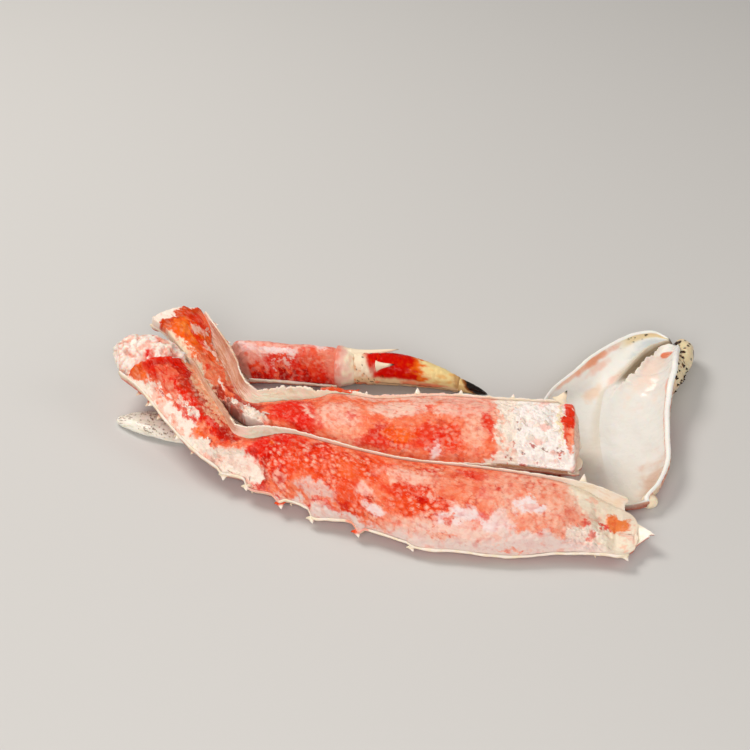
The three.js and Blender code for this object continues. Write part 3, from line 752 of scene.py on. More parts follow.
def add_flake(body, centre, long_way, wide_way, size, colour, curl, sides, rings):
    """A small torn scrap: a flat rounded lump with a ragged edge, curled along its length."""
    long_way = unit(long_way)
    wide_way = unit(wide_way - long_way * (wide_way @ long_way))
    up = np.cross(long_way, wide_way)
    turn = full_turn(sides)
    tilt = np.linspace(-np.pi / 2, np.pi / 2, rings + 2)[1:-1, None]
    direction = stacked(np.cos(tilt) * np.cos(turn), np.cos(tilt) * np.sin(turn), np.sin(tilt))
    ragged = 1 + 0.3 * noise(direction * [1, 1, 0.4] * 3 + centre, 1.6, 3)
    reach = direction * size * ragged[..., None]
    lift = reach[..., 2] + curl * (reach[..., 0] / size[0]) ** 2
    points = centre + reach[..., :1] * long_way + reach[..., 1:2] * wide_way + lift[..., None] * up
    ends = centre + np.array([-1, 1])[:, None] * size[2] * up
    for part in (points, ends):
        part[..., 2] = np.maximum(part[..., 2], FLOOR_GAP)
    flat = np.concatenate([points.reshape(-1, 3), ends])
    shades = paint(colour, (0.4 * smooth_step(0.1, 0.8, noise(flat, 2.5, 3)), BLUSH))
    body.add_rings(points, ends, shades, redness(shades))


def flaked_end(body, form):
    """White flaked meat that stands out of the front leg's cut end."""
    f = form.track.frame_at(2.5)
    share = np.linspace(0, 1, 80)
    turn = full_turn(120)[:, None]
    full = np.sqrt(1 - (0.93 * share**1.9) ** 2) * (0.78 + 0.22 * smooth_step(0, 0.3, share))
    drift = 2.4 - 1.0 * share[:, None]
    centre = f["middle"] + f["down"] * 2.8 - 28 * share[:, None] * f["along"] + drift * f["across"]
    out = np.cos(turn) * f["across"] * 16 + np.sin(turn) * f["down"] * 10.4
    points = centre[:, None] + full[:, None, None] * out
    way = unit(points - centre[:, None])
    flakes = noise(points * [1, 1, 1.6], 11, 5, 0.6)
    creases = -np.abs(noise(points + 40, 8, 4, 0.6))
    clefts = -smooth_step(0.16, 0.0, np.abs(noise(points * [1, 1, 0.6] + 90, 9, 3, 0.5)))
    points = points + way * (1.9 * flakes + 1.3 * creases + 1.6 * clefts)[..., None]
    points[..., 2] = soft_floor(points[..., 2], FLOOR_GAP)
    stains = noise(points * [1.3, 1, 1] + 120, 9, 4)
    colours = paint(
        tone(252, 238, 228),
        (0.7 * smooth_step(0.1, 0.9, noise(points + 9, 6, 3)), BLUSH),
        (0.5 * smooth_step(0.15, 0.5, -creases), PINK),
        (-0.5 * clefts, tone(236, 130, 100)),
        (0.6 * smooth_step(0.25, 0.7, stains), SALMON),
        (smooth_step(0.5, 0.8, stains), RED),
        (0.7 * smooth_step(0.85, 1.0, noise(points + 77, 1.6, 2)), DEEP_RED),
    )
    shades = with_end_shades(colours)
    body.add_rings(points, centre[[0, -1]], shades, redness(shades))


def round_loft(body, sections, colour_of, rough=0.25, grain=4.0):
    """A round solid along a line of centres (x, y, z, half width, half height)."""
    sections = np.array(sections, float)
    knots = running_length(sections[:, :3])
    s = np.linspace(0, knots[-1], int(knots[-1] / 0.5) + 2)
    found = line_value(knots, sections, s)
    ahead = line_value(knots, sections, s + 0.2) - line_value(knots, sections, s - 0.2)
    along = unit(ahead[:, :3] * [1, 1, 0])
    side = stacked(-along[:, 1], along[:, 0], along[:, 2])
    turn = full_turn(72)
    half = found[:, 3]
    for from_end in (s, s[-1] - s):
        half = half * np.sqrt(np.clip(from_end / 1.2 + 0.04, 0, 1))
    tall = found[:, 4] * half / found[:, 3]
    points = found[:, None, :3] + side[:, None] * (half[:, None] * np.cos(turn))[..., None]
    points[..., 2] += tall[:, None] * np.sin(turn)
    out = unit(points - found[:, None, :3])
    points = points + out * (rough * noise(points, grain, 4))[..., None]
    points[..., 2] = soft_floor(points[..., 2], FLOOR_GAP)
    shades = with_end_shades(colour_of(points, s[:, None], turn))
    body.add_rings(points, found[[0, -1], :3], shades, 0.4 * redness(shades))


# Claw: each row lists the left rim, the inner edges of the fixed and the moving finger, and the right rim
CLAW_ROWS = [
    ((109, -104.5, 6.5), (118, -106.5, 6.2), (118.2, -106.5, 6.2), (126, -104, 7)),
    ((108, -103, 7), (118, -103, 4), (118.2, -103, 4), (126, -102, 8)),
    ((96, -95, 8), (114, -95, 3.4), (114.2, -95, 3.4), (132.5, -94, 9.5)),
    ((86, -81, 9), (111, -80, 2.6), (111.2, -80, 2.6), (138.5, -80, 11.5)),
    ((81.5, -62, 10), (110.5, -63, 2.4), (110.7, -63, 2.4), (140.5, -64, 12.5)),
    ((82.5, -44, 11.5), (111.5, -46, 2.6), (111.7, -46, 2.6), (142.5, -47, 14)),
    ((89.2, -29, 12.3), (114, -31, 3.6), (116, -32, 3.8), (145, -35, 15.5)),
    ((101.5, -15, 13.2), (117, -20, 5), (122, -22, 6), (146.5, -28, 17.5)),
    ((114.5, -0.5, 13.5), (124.5, -13.5, 9.5), (129, -16.7, 11), (149.4, -19, 19)),
    ((127.5, 10.5, 13.5), (133.3, -3.3, 12), (136.5, -9, 13), (151.3, -9.5, 18.8)),
    ((138.5, 17.2, 13), (140.7, 6, 12.5), (142.5, -1, 13.5), (153.6, -1.5, 17.4)),
    ((147.5, 19.2, 12.3), (147.6, 11.5, 12), (147.2, 4.6, 13.2), (155.6, 3.4, 15.6)),
    ((152.5, 17.6, 11), (152.2, 15, 11.3), (151.6, 8.2, 12.8), (156.6, 7, 14)),
    ((155, 16.6, 10.2), (155.2, 16.2, 10.2), (155.4, 10.2, 11.4), (157.4, 9.6, 12.2)),
]
# How far each row is still one open bowl, and how far its two lobes sag below their chords
BOWL_SHARE = [1, 1, 1, 1, 1, 1, 0.9, 0.6, 0.25, 0, 0, 0, 0, 0]
LOBE_SAG = [0, 0, 0, 0, 0, 0, 5, 5.5, 4.2, 2.8, 1.8, 1.0, 0.4, 0]
CREVICE = [0, 0, 0, 0, 0, 0, 0.1, 0.8, 3, 4.4, 4.6, 3.6, 2, 1]
OUTER_DEPTH = [5, 7, 11, 14, 16, 18, 18, 17, 16, 14, 12, 9, 5, 2]
OUTER_SWELL = [0, 0, 0, 0, 0.5, 1, 2, 4, 7, 9, 10.5, 11, 9.5, 5]
RIM_THICKNESS = [1.6, 1.6, 1.6, 1.7, 1.8, 1.9, 2, 2.1, 2.3, 2.5, 2.6, 2.6, 2.2, 1.4]
LOBE_POINTS = 80
CREVICE_POINTS = 7
OUTER_POINTS = 150
CLAW_STEP = 0.6
OUTER_POWER = 0.82
LOBE_POWER = 0.9


def claw_lobe(rim, edge, w, bowl, sag):
    """Inner side from a rim to the inner edge: a bowl's quarter, or a sagging chord, or between them."""
    turn = w * np.pi / 2
    inward = 1 - np.cos(turn) ** LOBE_POWER
    shares = np.concatenate([inward, inward, np.sin(turn) ** LOBE_POWER], axis=1)
    quarter = rim + (edge - rim) * shares
    chord = rim + (edge - rim) * w
    chord[:, 2] -= max(sag, 0) * (1 - np.abs(2 * w[:, 0] - 1) ** 2.2)
    return bowl * quarter + (1 - bowl) * chord


def outer_arc(start, end, turn, swell=1):
    """Rounded half section from one place to another, as a sideways part and a depth share."""
    return (start + end) / 2 + (start - end) / 2 * rounded(np.cos(turn), OUTER_POWER) * swell


def claw_section(values, row_tooth):
    """One row's ring: inner left lobe, crevice, inner right lobe, right rim, outer wall, left rim."""
    left, inner_left, inner_right, right = values[:12].reshape(4, 3)
    bowl, sag, crevice, depth, swelling, wall = values[12:]
    bowl = min(max(bowl, 0), 1)
    w = np.linspace(0, 1, LOBE_POINTS)[:, None]
    left_lobe = claw_lobe(left, inner_left, w, bowl, sag)
    right_lobe = claw_lobe(right, inner_right, w, bowl, sag)[::-1]
    from_left = (1 - w[:, 0]) * np.linalg.norm(left - inner_left)
    from_right = w[:, 0] * np.linalg.norm(right - inner_right)
    left_lobe[:, 2] += bowl * np.exp(-((from_left / 1.3) ** 2))
    right_lobe[:, 2] += bowl * np.exp(-((from_right / 2.6) ** 2))
    right_lobe[:, 2] += row_tooth * (1 - bowl) * np.exp(-((from_right / 1.6) ** 2))
    gap = np.linspace(0, 1, CREVICE_POINTS + 2)[1:-1, None]
    cleft = left_lobe[-1] + (right_lobe[0] - left_lobe[-1]) * gap
    cleft[:, 2] -= crevice * np.sin(np.pi * gap[:, 0]) ** 0.5
    across = unit((right - left) * [1, 1, 0])
    up = np.array([0, 0, 1.0])
    right_out = right + across * wall * 1.5
    left_out = left - across * wall * 0.9
    turn = np.linspace(0, np.pi, OUTER_POINTS)[:, None]
    one = outer_arc(right_out, left_out, turn, 1 + 0.1 * np.sin(turn))
    one = one - up * depth * rounded(np.sin(turn), OUTER_POWER)
    turn = np.linspace(0, np.pi, OUTER_POINTS // 2)[:, None]
    fall = up * (depth * 0.8) * rounded(np.sin(turn), OUTER_POWER)
    valley = (inner_left + inner_right) / 2 - up * (crevice + wall)
    lean = np.sin(turn) ** 0.6 * np.cos(turn / 2)
    right_side = outer_arc(right_out, valley, turn) - fall + across * max(swelling, 0) * lean
    left_side = outer_arc(valley, left_out, turn) - fall
    two = np.concatenate([right_side, left_side])
    return left_lobe, cleft, right_lobe, bowl * one + (1 - bowl) * two


def claw_shell(body):
    rims = np.array(CLAW_ROWS, float).reshape(len(CLAW_ROWS), -1)
    extra = [BOWL_SHARE, LOBE_SAG, CREVICE, OUTER_DEPTH, OUTER_SWELL, RIM_THICKNESS]
    table = np.concatenate([rims, np.array(extra, float).T], axis=1)
    knots = running_length((table[:, :3] + table[:, 9:12]) / 2)
    s = np.linspace(0, knots[-1], int(knots[-1] / CLAW_STEP))
    values = line_value(knots, table, s)
    row_place = np.interp(s, knots, np.arange(len(knots)))
    teeth = noise(stacked(s, 0, 0), 4.5, 3, 0.6) * smooth_step(6.5, 8, row_place)
    values[:, 6:8] += 1.5 * teeth[:, None] * np.array([-0.8, 0.6])
    rings = []
    rim_turn = np.linspace(0, np.pi, 7)[1:-1]
    for row, tooth in zip(values, 1.2 + 1.2 * teeth):
        left_lobe, cleft, right_lobe, outer = claw_section(row, tooth)
        right_rim = rounded_rim(right_lobe[-1], outer[0], rim_turn, row[-1])
        left_rim = rounded_rim(outer[-1], left_lobe[0], rim_turn, row[-1])
        rings.append(np.concatenate([left_lobe, cleft, right_lobe, right_rim, outer, left_rim]))
    ring = np.array(rings)
    column = np.arange(ring.shape[1])
    right_from = LOBE_POINTS + CREVICE_POINTS
    inner_count = right_from + LOBE_POINTS
    outer_start = inner_count + len(rim_turn)
    is_outer = (column >= outer_start) & (column < outer_start + OUTER_POINTS)
    is_cleft = (column >= LOBE_POINTS) & (column < right_from)
    left_w = np.where(column < LOBE_POINTS, column / LOBE_POINTS, -1)
    is_right = (column >= right_from) & (column < inner_count)
    right_w = np.where(is_right, (column - right_from) / LOBE_POINTS, -1)
    tip_share = smooth_step(7.5, 12, row_place)[:, None]
    soft = noise(ring, 16, 3)
    fine = noise(ring + 33, 2.4, 3)
    rough = np.where(is_outer, 0.25 + 0.5 * tip_share, 0.02 + 0.05 * tip_share)
    ring[..., 2] += np.where(is_outer, 0, 0.5 * soft) * smooth_step(0, 4, s)[:, None]
    way = unit(ring - ring.mean(axis=1, keepdims=True))
    ring = ring + way * (rough * fine)[..., None]
    ring[..., 2] = soft_floor(ring[..., 2], FLOOR_GAP)
    colours = claw_colours(ring, row_place[:, None], left_w, right_w, is_cleft, is_outer)
    body.add_rings(ring, ring[[0, -1]].mean(axis=1), with_end_shades(colours))
    return ring, outer_start


def rounded_rim(start, end, turns, thickness):
    """A half round over a rim, from one side of the wall to the other."""
    middle = (start + end) / 2
    half = (start - end) / 2
    rise = np.array([0, 0, 1.0]) * max(np.linalg.norm(half), 0.3 * thickness)
    return np.array([middle + half * np.cos(turn) + rise * np.sin(turn) for turn in turns])


FINGER_SPOT = np.array([150.2, -1.6, 13.2])


def claw_colours(ring, row, left, right, is_cleft, is_outer):
    """Colours by the row of the claw and by the share across its left or right lobe, below 0 off the lobe."""
    blot = noise(ring + 5, 12, 4)
    fine = noise(ring + 15, 2.2, 3)
    fray = 0.45 * noise(ring + 25, 6, 4)

    def zone(w, row_from, row_to, w_from, w_to, worn=1.0):
        reach = oval(row, w, row_from, row_to, w_from, w_to) + worn * fray
        return smooth_step(1.45, 0.4, reach) * (w >= 0)

    tan = (left >= 0) * smooth_step(0.3, 0.12, left) * smooth_step(8.7, 9.6, row)
    from_spot = np.linalg.norm((ring - FINGER_SPOT) * [1, 0.8, 0.5], axis=-1)
    spot = smooth_step(3.9, 2.7, from_spot + 1.2 * fray) * (right >= 0)
    # Painted highlight: a white line along the crest of the crease between the lobes. Painted shade: the
    # darker band beside it on the left lobe.
    crest_highlight = smooth_step(0.985, 1, left) * smooth_step(2.5, 4, row)
    beside = smooth_step(0.88, 0.97, left) * (1 - crest_highlight) * smooth_step(3, 5, row) * smooth_step(7.6, 7, row)
    toothed = smooth_step(0.12, 0.02, right) * (right >= 0) * smooth_step(7.4, 8, row)
    near_gap = smooth_step(7.6, 8.4, row)
    on_rim = ~is_outer & ~is_cleft & (left < 0) & (right < 0)
    inside = paint(
        tone(235, 232, 226),
        (0.35 * smooth_step(-0.2, 0.8, blot), tone(228, 222, 212)),
        (0.6 * smooth_step(3.6, 5, row) * (left >= 0), tone(248, 245, 238)),
        (0.6 * smooth_step(4, 1, row), tone(214, 198, 174)),
        (0.85 * zone(left, 7.0, 8.7, -0.04, 0.17), tone(236, 146, 100)),
        (0.5 * zone(left, 7.4, 8.4, 0.16, 0.42), tone(240, 168, 134)),
        (0.6 * zone(left, 6, 7.6, -0.04, 0.1), tone(238, 170, 134)),
        (0.35 * zone(left, 6.3, 7.4, 0.62, 0.92), AMBER),
        (0.7 * zone(left, 9.4, 12, 0.3, 1.0), tone(196, 206, 210)),
        (0.6 * zone(left, 7.3, 8.4, 0.8, 1.05), tone(244, 190, 170)),
        (tan, tone(232, 208, 164)),
        (tan * smooth_step(0.5, 0.62, fine), tone(74, 46, 30)),
        (0.55 * zone(right, 6.8, 12.6, 0.0, 0.8), tone(246, 206, 184)),
        (smooth_step(9.9, 10.3, row + 0.2 * fray) * (right >= 0), tone(252, 248, 240)),
        (0.95 * spot, tone(240, 124, 76)),
        (0.5 * zone(right, 2.6, 7.6, 0.9, 0.99), ORANGE),
        (0.5 * zone(right, 1.1, 3.4, 0.4, 1.0), tone(212, 148, 108)),
        # painted highlight on the crease's crest, then painted shade in the band beside it
        (0.8 * crest_highlight, tone(252, 250, 246)),
        (0.5 * beside, tone(208, 196, 172)),
        # painted shadow of the rear leg's cut end on the lower part of the left lobe, with a sharp edge
        (0.5 * zone(left, 2.4, 4.9, 0.5, 1.0, 0.3), tone(218, 206, 184)),
        (0.9 * toothed, tone(250, 238, 228)),
        # Painted shade: darker tan on the left lobe's rounded edge beside the crevice, and brown-tan in the
        # crevice between the fingers, whose own brownish colour is darkened by painted shade.
        (0.7 * (left >= 0) * smooth_step(0.72, 1, left) * near_gap, tone(214, 196, 164)),
        (0.9 * is_cleft * near_gap, tone(160, 136, 104)),
        (0.9 * on_rim, tone(254, 252, 246)),
    )
    blush = smooth_step(-0.5, 0.3, blot + 0.3 * fine) * smooth_step(9, 5.5, row + 2 * blot)
    outside = paint(
        tone(240, 214, 184),
        (0.85 * blush, tone(214, 84, 44)),
        (0.6 * blush * smooth_step(0.1, 0.6, fine), tone(190, 40, 16)),
        (smooth_step(6, 8, row), tone(236, 214, 172)),
        (smooth_step(7, 9, row) * smooth_step(0.5, 0.62, fine + 0.2 * blot), BROWN),
    )
    colours = np.where(is_outer[:, None], outside, inside)
    return paint(colours, (smooth_step(12.4, 13, row) * smooth_step(-0.1, 0.3, fine), DARK))


# Materials
def surface(
    name, smooth, rough, stretch, bump, height, coat, shine=0.2, glow=0.0, depth=1.0, flecks=0.0, dots=0.0,
    curds=0.0, net=0.0, pebbles=0.0,
):
    """Painted wet surface with fine flecks, curds, fibres and grain. Height and depth are in millimetres."""
    material = bpy.data.materials.new(name)
    material.use_nodes = True
    nodes = material.node_tree.nodes
    links = material.node_tree.links
    shader = nodes["Principled BSDF"]

    def node(kind, output, inputs, **settings):
        """Output of a new node, whose inputs are numbers, colours or the outputs of other nodes."""
        made = nodes.new("ShaderNode" + kind)
        for setting, value in settings.items():
            setattr(made, setting, value)
        for key, value in inputs.items():
            if isinstance(value, bpy.types.NodeSocket):
                links.new(value, made.inputs[key])
            else:
                made.inputs[key].default_value = value
        return made.outputs[output]

    painted = node("Attribute", "Color", {}, attribute_name="paint")
    mottle = node("Attribute", "Fac", {}, attribute_name="mottle")
    run = node("Attribute", "Vector", {}, attribute_name="run")

    def placed(size, longer, seed):
        scale = (1 / (size * longer), 1 / size, 1 / size)
        location = (seed, seed * 1.7, seed * 0.3)
        return node("Mapping", "Vector", {"Vector": run, "Scale": scale, "Location": location})

    def grain(size, longer, detail, seed):
        inputs = {"Scale": 1, "Detail": detail, "Roughness": 0.6, "Vector": placed(size, longer, seed)}
        return node("TexNoise", "Fac", inputs)

    def ramp(value, low, high, to_low, to_high):
        return node("MapRange", 0, dict(enumerate((value, low, high, to_low, to_high))))

    def combine(operation, first, second):
        return node("Math", 0, {0: first, 1: second}, operation=operation)

    def over(first, factor, colour):
        return node("Mix", 2, {0: factor, 6: first, 7: (*colour, 1)}, data_type="RGBA")

    def times(first, second):
        return combine("MULTIPLY", first, second)

    cells = node("TexVoronoi", "Distance", {"Scale": 1, "Vector": placed(2.4, 1.2, 6.2)})
    speckled = times(ramp(grain(9, 1.3, 2, 14.2), 0.42, 0.58, 0.2, 1), mottle)
    groups = times(ramp(grain(6, 1.2, 2, 21.3), 0.42, 0.55, 0.15, 1), speckled)
    colour = over(painted, times(ramp(grain(1.4, 1.3, 2, 3.1), 0.53, 0.62, 0, flecks), speckled), CURD)
    colour = over(colour, times(ramp(cells, 0.18, 0.5, curds, 0), groups), CURD)
    colour = over(colour, times(ramp(cells, 0.5, 0.8, 0, net), groups), tone(206, 14, 0))
    colour = over(colour, times(ramp(grain(1.2, 1.1, 2, 8.4), 0.58, 0.68, 0, dots), speckled), DEEP_RED)
    links.new(colour, shader.inputs["Base Color"])
    links.new(ramp(grain(3.5, 1.3, 3, 5.5), 0.35, 0.65, smooth, rough), shader.inputs["Roughness"])
    relief = combine("ADD", grain(0.8, stretch, 4, 1.2), ramp(cells, 0, 0.7, pebbles, 0))
    bumped = node("Bump", "Normal", {"Strength": bump, "Distance": height * MM, "Height": relief})
    links.new(bumped, shader.inputs["Normal"])
    for socket, value in (
        ("Subsurface Weight", glow),
        ("Subsurface Radius", (1.0, 0.35, 0.2)),
        ("Subsurface Scale", depth * MM),
        ("Coat Weight", coat),
        ("Coat Roughness", 0.08),
        ("Specular IOR Level", shine),
        ("IOR", 1.4),
    ):
        shader.inputs[socket].default_value = value
    return material


MEAT = surface(
    "wet_meat", 0.12, 0.32, 1.6, bump=0.5, height=0.6, coat=0.09, shine=0.05, glow=0.1, flecks=0.4, dots=0.6,
    curds=0.72, net=0.9, pebbles=0.6,
)
FLAKES = surface(
    "flaked_meat", 0.35, 0.5, 1.5, bump=0.6, height=0.5, coat=0.25, glow=0.35, depth=3.0, flecks=0.4, dots=0.2
)
SHELL = surface(
    "leg_shell", 0.3, 0.45, 1.2, bump=0.5, height=0.35, coat=0.18, glow=0.1, depth=1.5, flecks=0.1, dots=0.2
)
CLAW = surface("claw_shell", 0.24, 0.32, 1.2, bump=0.08, height=0.15, coat=0.3, glow=0.2, depth=2.0)
TIP = surface("tip_shell", 0.22, 0.4, 1.4, bump=0.4, height=0.3, coat=0.06, shine=0.08, dots=0.3)
NAIL = surface("nail", 0.18, 0.3, 4.0, bump=0.4, height=0.2, coat=0.5)

# Front leg
front_leg = LegForm(
    FRONT_LEG,
    [
        (-6, 0), (40, 0.02), (60, 0.06), (65, 0.05), (68, 0), (70, 0.03), (76, 0.08), (79, -0.02),
        (90, 0.06), (95, 0.02), (98, 0.07), (109, 0.06), (112, -0.04), (120, 0), (131, 0.06),
        (135, -0.02), (138, 0.04), (157, 0.03), (161, -0.01), (170, -0.01), (180, 0.01), (197, -0.02),
        (210, -0.03), (225, 0.01), (249, 0), (256, -0.04), (275, -0.02),
    ],
    [(-6, -0.05), (12, -0.08), (45, -0.08), (65, -0.02), (275, 0)],
)
front_shell = Body()
leg_shell(
    front_shell, front_leg,
    start_line=[(0, -2), (0.3, -1), (0.6, 0), (1, -1)],
    end_line=[
        (0, 257), (0.1, 260), (0.22, 263), (0.34, 267), (0.46, 270), (0.56, 270), (0.63, 266),
        (0.69, 259), (1, 257),
    ],
    rim_fray=0.7, lower_front=[(-6, 0), (280, 0)],
    lower_back=[(-6, 1.5), (55, 1.5), (75, 0), (280, 0)],
    front_tints=[(80, 96, SALMON, 0.5), (128, 140, SALMON, 0.6)],
    back_tints=[(-6, 56, tone(196, 132, 96), 0.8), (56, 120, WHITE, 0.6)],
    # The beige-brown, dark red and brown stains on the inner back wall are its fibres with painted shade over
    # them; the pale green one offsets pink light bounced from the meat.
    stains=[
        (-6, 62, 0.55, 1.1, tone(214, 160, 128), 0.9), (8, 62, 0.6, 0.8, DEEP_RED, 0.5),
        (20, 45, 0.8, 0.95, BROWN, 0.35), (60, 108, 0.55, 1.1, tone(226, 255, 232), 1),
    ],
    folds=[(60, 96, 0.6, 1.1, 0.4)],
)
rim_spines(
    front_shell, front_leg,
    [
        (20, "front", 2.2, 0.3, False), (43, "front", 2.8, 0.3, False), (69, "front", 3.6, 0.4, False),
        (78, "front", 3, 0.4, False), (95.5, "front", 4.2, 0.4, True),
        (111.5, "front", 3.6, 0.4, False), (134, "front", 4.2, 0.4, True),
        (160, "front", 3, 0.4, False), (258, "front", 3, 0.6, False), (237, "back", 5.4, 0.1, False),
    ],
)
wall_spines(
    front_shell, front_leg,
    [(0.16, 6, 60, 12, 2.4), (0.2, 66, 250, 19, 2.2), (0.86, 84, 250, 22, 2.2)], 11,
)
front_shell.make(
    "front_leg_shell", SHELL, ["leg_front_carpus_shell", "leg_front_merus_shell"],
)
front_meat = Body()
front_top = leg_meat(
    front_meat, front_leg,
    start=-0.4, end=264, fade=(240, 260), caps=(WHITE, END_CREAM),
    front_sunk=[
        (-1, 0.4), (60, 0.4), (66, 0.8), (82, 0.8), (90, 0.3), (230, 0.3), (242, 1), (252, 3),
        (264, 5),
    ],
    back_sunk=[
        (-1, 4), (45, 5), (60, 7), (72, 6), (82, 3.6), (92, 2), (110, 1), (140, 0.4), (205, 0.4),
        (225, 2), (238, 5), (250, 8), (264, 9),
    ],
    crown=[
        (-1, 8.8), (4, 7.6), (12, 4.8), (25, 3.6), (60, 3), (82, 4), (95, 6), (140, 7), (200, 6.5),
        (225, 5.5), (240, 2.5), (252, 1.5), (264, 1),
    ],
    relief=[
        (60, 84, -0.1, 0.55, 0, 0.1, -2.2), (-1, 4, 0.1, 1, 6, 0.3, 1.8),
        (7, 20, 0.35, 0.9, -35, 0.3, 0.9), (74, 100, 0.6, 0.95, 0, 0.3, 0.8),
        (248, 260, 0.46, 0.74, 0, 0.3, 2.2),
    ],
    crumbs=[
        (22, 42, 0.34, 0.58, 0, 0.3, 1.2), (44, 84, -0.1, 0.45, 0, 0.3, 0.8),
        (6, 20, 0.1, 0.32, 0, 0.3, 1), (228, 250, 0.1, 0.45, 0, 0.3, 0.9),
    ],
    curds=[
        (6, 64, 0.3, 1, 0, 0.3, 0.5), (78, 150, -0.2, 1.2, 0, 0.3, 1),
        (145, 232, -0.2, 1.2, 0, 0.3, 1),
    ],
    patches=[
        (-5, 60, -0.1, 0.22, WHITE, 1), (-4, 14, 0.3, 1.05, RED, 0.95, 8),
        (-2, 8, 0.05, 0.3, ORANGE, 0.9), (2, 16, 0.6, 1, RED, 0.9),
        (6, 22, 0.28, 0.9, DEEP_RED, 0.55, -35, 0.4), (5, 15, 0.45, 0.75, SALMON, 0.8),
        (13, 30, 0.5, 0.75, SALMON, 0.9), (7, 24, 0.34, 0.66, tone(240, 130, 100), 0.75, -20, 0.4),
        (3, 22, 0.66, 0.71, DEEP_RED, 0.8, -24), (6, 20, 0.44, 0.48, RED, 0.8, -30),
        (10, 68, 0.64, 0.92, DEEP_RED, 0.7, 0, 0.3), (20, 34, 0.78, 0.86, BROWN, 0.5),
        (38, 52, 0.74, 0.84, BEIGE, 0.7), (24, 62, 0.1, 0.36, WHITE, 0.95),
        (14, 24, 0.08, 0.2, tone(244, 178, 156), 0.7), (30, 44, 0.06, 0.18, tone(244, 178, 156), 0.7),
        (8, 15, 0.2, 0.28, WHITE, 0.9), (12, 22, 0.24, 0.32, WHITE, 0.9, -20),
        (24, 40, 0.4, 0.56, WHITE, 0.8), (12, 34, 0.54, 0.66, RED, 0.9),
        (30, 60, 0.56, 0.72, RED, 0.95), (20, 25, 0.3, 0.4, WHITE, 0.9),
        (35, 40, 0.4, 0.65, WHITE, 0.9), (40, 47, 0.3, 0.45, WHITE, 0.9),
        (28, 42, 0.3, 0.5, RED, 0.75), (45, 52, 0.2, 0.5, ORANGE, 0.8),
        (50, 66, 0.64, 0.8, DEEP_RED, 0.85), (18.5, 21.5, 0.22, 0.28, DEEP_RED, 0.8),
        # the beige patch from -5 to 66 along the back edge (0.87 to 1.1 across) gives the back wall's fibres
        # with painted shade over them
        (53.5, 56.5, 0.32, 0.38, DEEP_RED, 0.8), (-5, 66, 0.87, 1.1, BEIGE, 0.9, 0, 0.15),
        (58, 84, -0.1, 0.58, WHITE, 1, 0, 0.15), (64, 80, 0.2, 0.5, tone(240, 218, 204), 0.8),
        (70, 72, 0.05, 0.1, BROWN, 0.8), (77, 79, 0.18, 0.22, BROWN, 0.8),
        (64, 66, 0.22, 0.28, BROWN, 0.8), (71, 86, 0.45, 0.78, RED, 0.95),
        (72, 106, 0.58, 0.95, RED, 1), (78, 108, 0.42, 0.98, RED, 1),
        (83, 89, 0.66, 0.78, ORANGE, 0.6), (83.5, 88, 0.06, 0.6, DEEP_RED, 0.8, 0, 0.2),
        (86, 102, 0.2, 0.68, tone(238, 64, 18), 0.85), (90, 98, 0.22, 0.4, BLUSH, 0.6),
        (96, 134, 0.42, 0.95, SALMON, 0.9), (100, 118, 0.7, 0.92, tone(234, 46, 6), 0.75),
        (107, 113, 0.84, 0.94, DEEP_RED, 0.6), (104, 123, 0.2, 0.42, tone(228, 196, 188), 0.85),
        (122, 140, 0.15, 0.52, tone(236, 66, 16), 0.8), (120, 132, 0.5, 0.8, tone(240, 96, 30), 0.6),
        (133, 142, 0.38, 0.52, tone(248, 200, 186), 0.85, 0, 0.4),
        (138.6, 141.4, 0.35, 0.41, DEEP_RED, 0.9), (138, 146, 0.22, 0.33, CLOUD, 0.85, 0, 0.4),
        (130, 147, 0.58, 0.95, SALMON, 0.9), (147, 174, 0.28, 0.52, SALMON, 0.85),
        (145, 175, 0.48, 0.66, tone(232, 50, 6), 0.85),
        (145, 176, 0.66, 0.84, tone(248, 196, 176), 0.9, 0, 0.4), (167, 170, 0.52, 0.58, BLUSH, 0.8),
        (163, 171, 0.84, 0.92, RED, 0.75), (166, 197, 0.45, 0.96, tone(244, 134, 98), 0.7),
        (189, 194, 0.54, 0.72, RED, 0.7), (179, 196, 0.8, 0.92, RED, 0.65),
        (170, 195, 0.16, 0.45, CLOUD, 0.9), (165, 178, 0.44, 0.5, RED, 0.6),
        (176, 180, 0.28, 0.36, SALMON, 0.8), (182, 192, 0.2, 0.32, SALMON, 0.75),
        (189, 200, 0.33, 0.46, RED, 0.75), (193, 206, 0.18, 0.45, CLOUD, 0.9),
        (194, 256, 0.26, 1.05, tone(247, 194, 170), 0.9, 0, 0.35),
        (198, 232, 0.62, 0.9, PINK, 0.5, 0, 0.5), (205, 220, 0.45, 0.63, CLOUD, 0.95),
        (204, 230, 0.24, 0.46, PINK, 0.35, 0, 0.5),
        (226, 238, 0.4, 0.58, tone(240, 112, 72), 0.6, -20, 0.4), (236, 241, 0.58, 0.82, CREAM, 0.9),
        (240, 300, -0.6, 1.6, END_CREAM, 1, 0, 0.08), (230, 262, 0.6, 1.4, END_CREAM, 1, 0, 0.2),
        (230, 246, 0.14, 0.42, WHITE, 0.9), (248, 261, 0.46, 0.74, tone(242, 128, 52), 0.95),
        (244, 251, 0.44, 0.54, tone(222, 30, 10), 0.9), (225, 238, 0.07, 0.13, RED, 0.7),
        (239, 244, 0.22, 0.36, RED, 0.7, 20), (236, 240, 0.4, 0.5, RED, 0.7),
        (84, 150, -0.1, 0.17, FRONT_WHITE, 1, 0, 0.2), (145, 250, -0.12, 0.26, FRONT_WHITE, 1, 0, 0.2),
        (150, 200, 0.1, 0.3, BLUSH, 0.7, 0, 0.4), (78, 96, 0.08, 0.13, RED, 0.6),
        (108, 126, 0.13, 0.2, RED, 0.6), (168, 180, 0.12, 0.17, ORANGE, 0.5),
        (197, 211, 0.05, 0.09, ORANGE, 0.5),
    ],
)
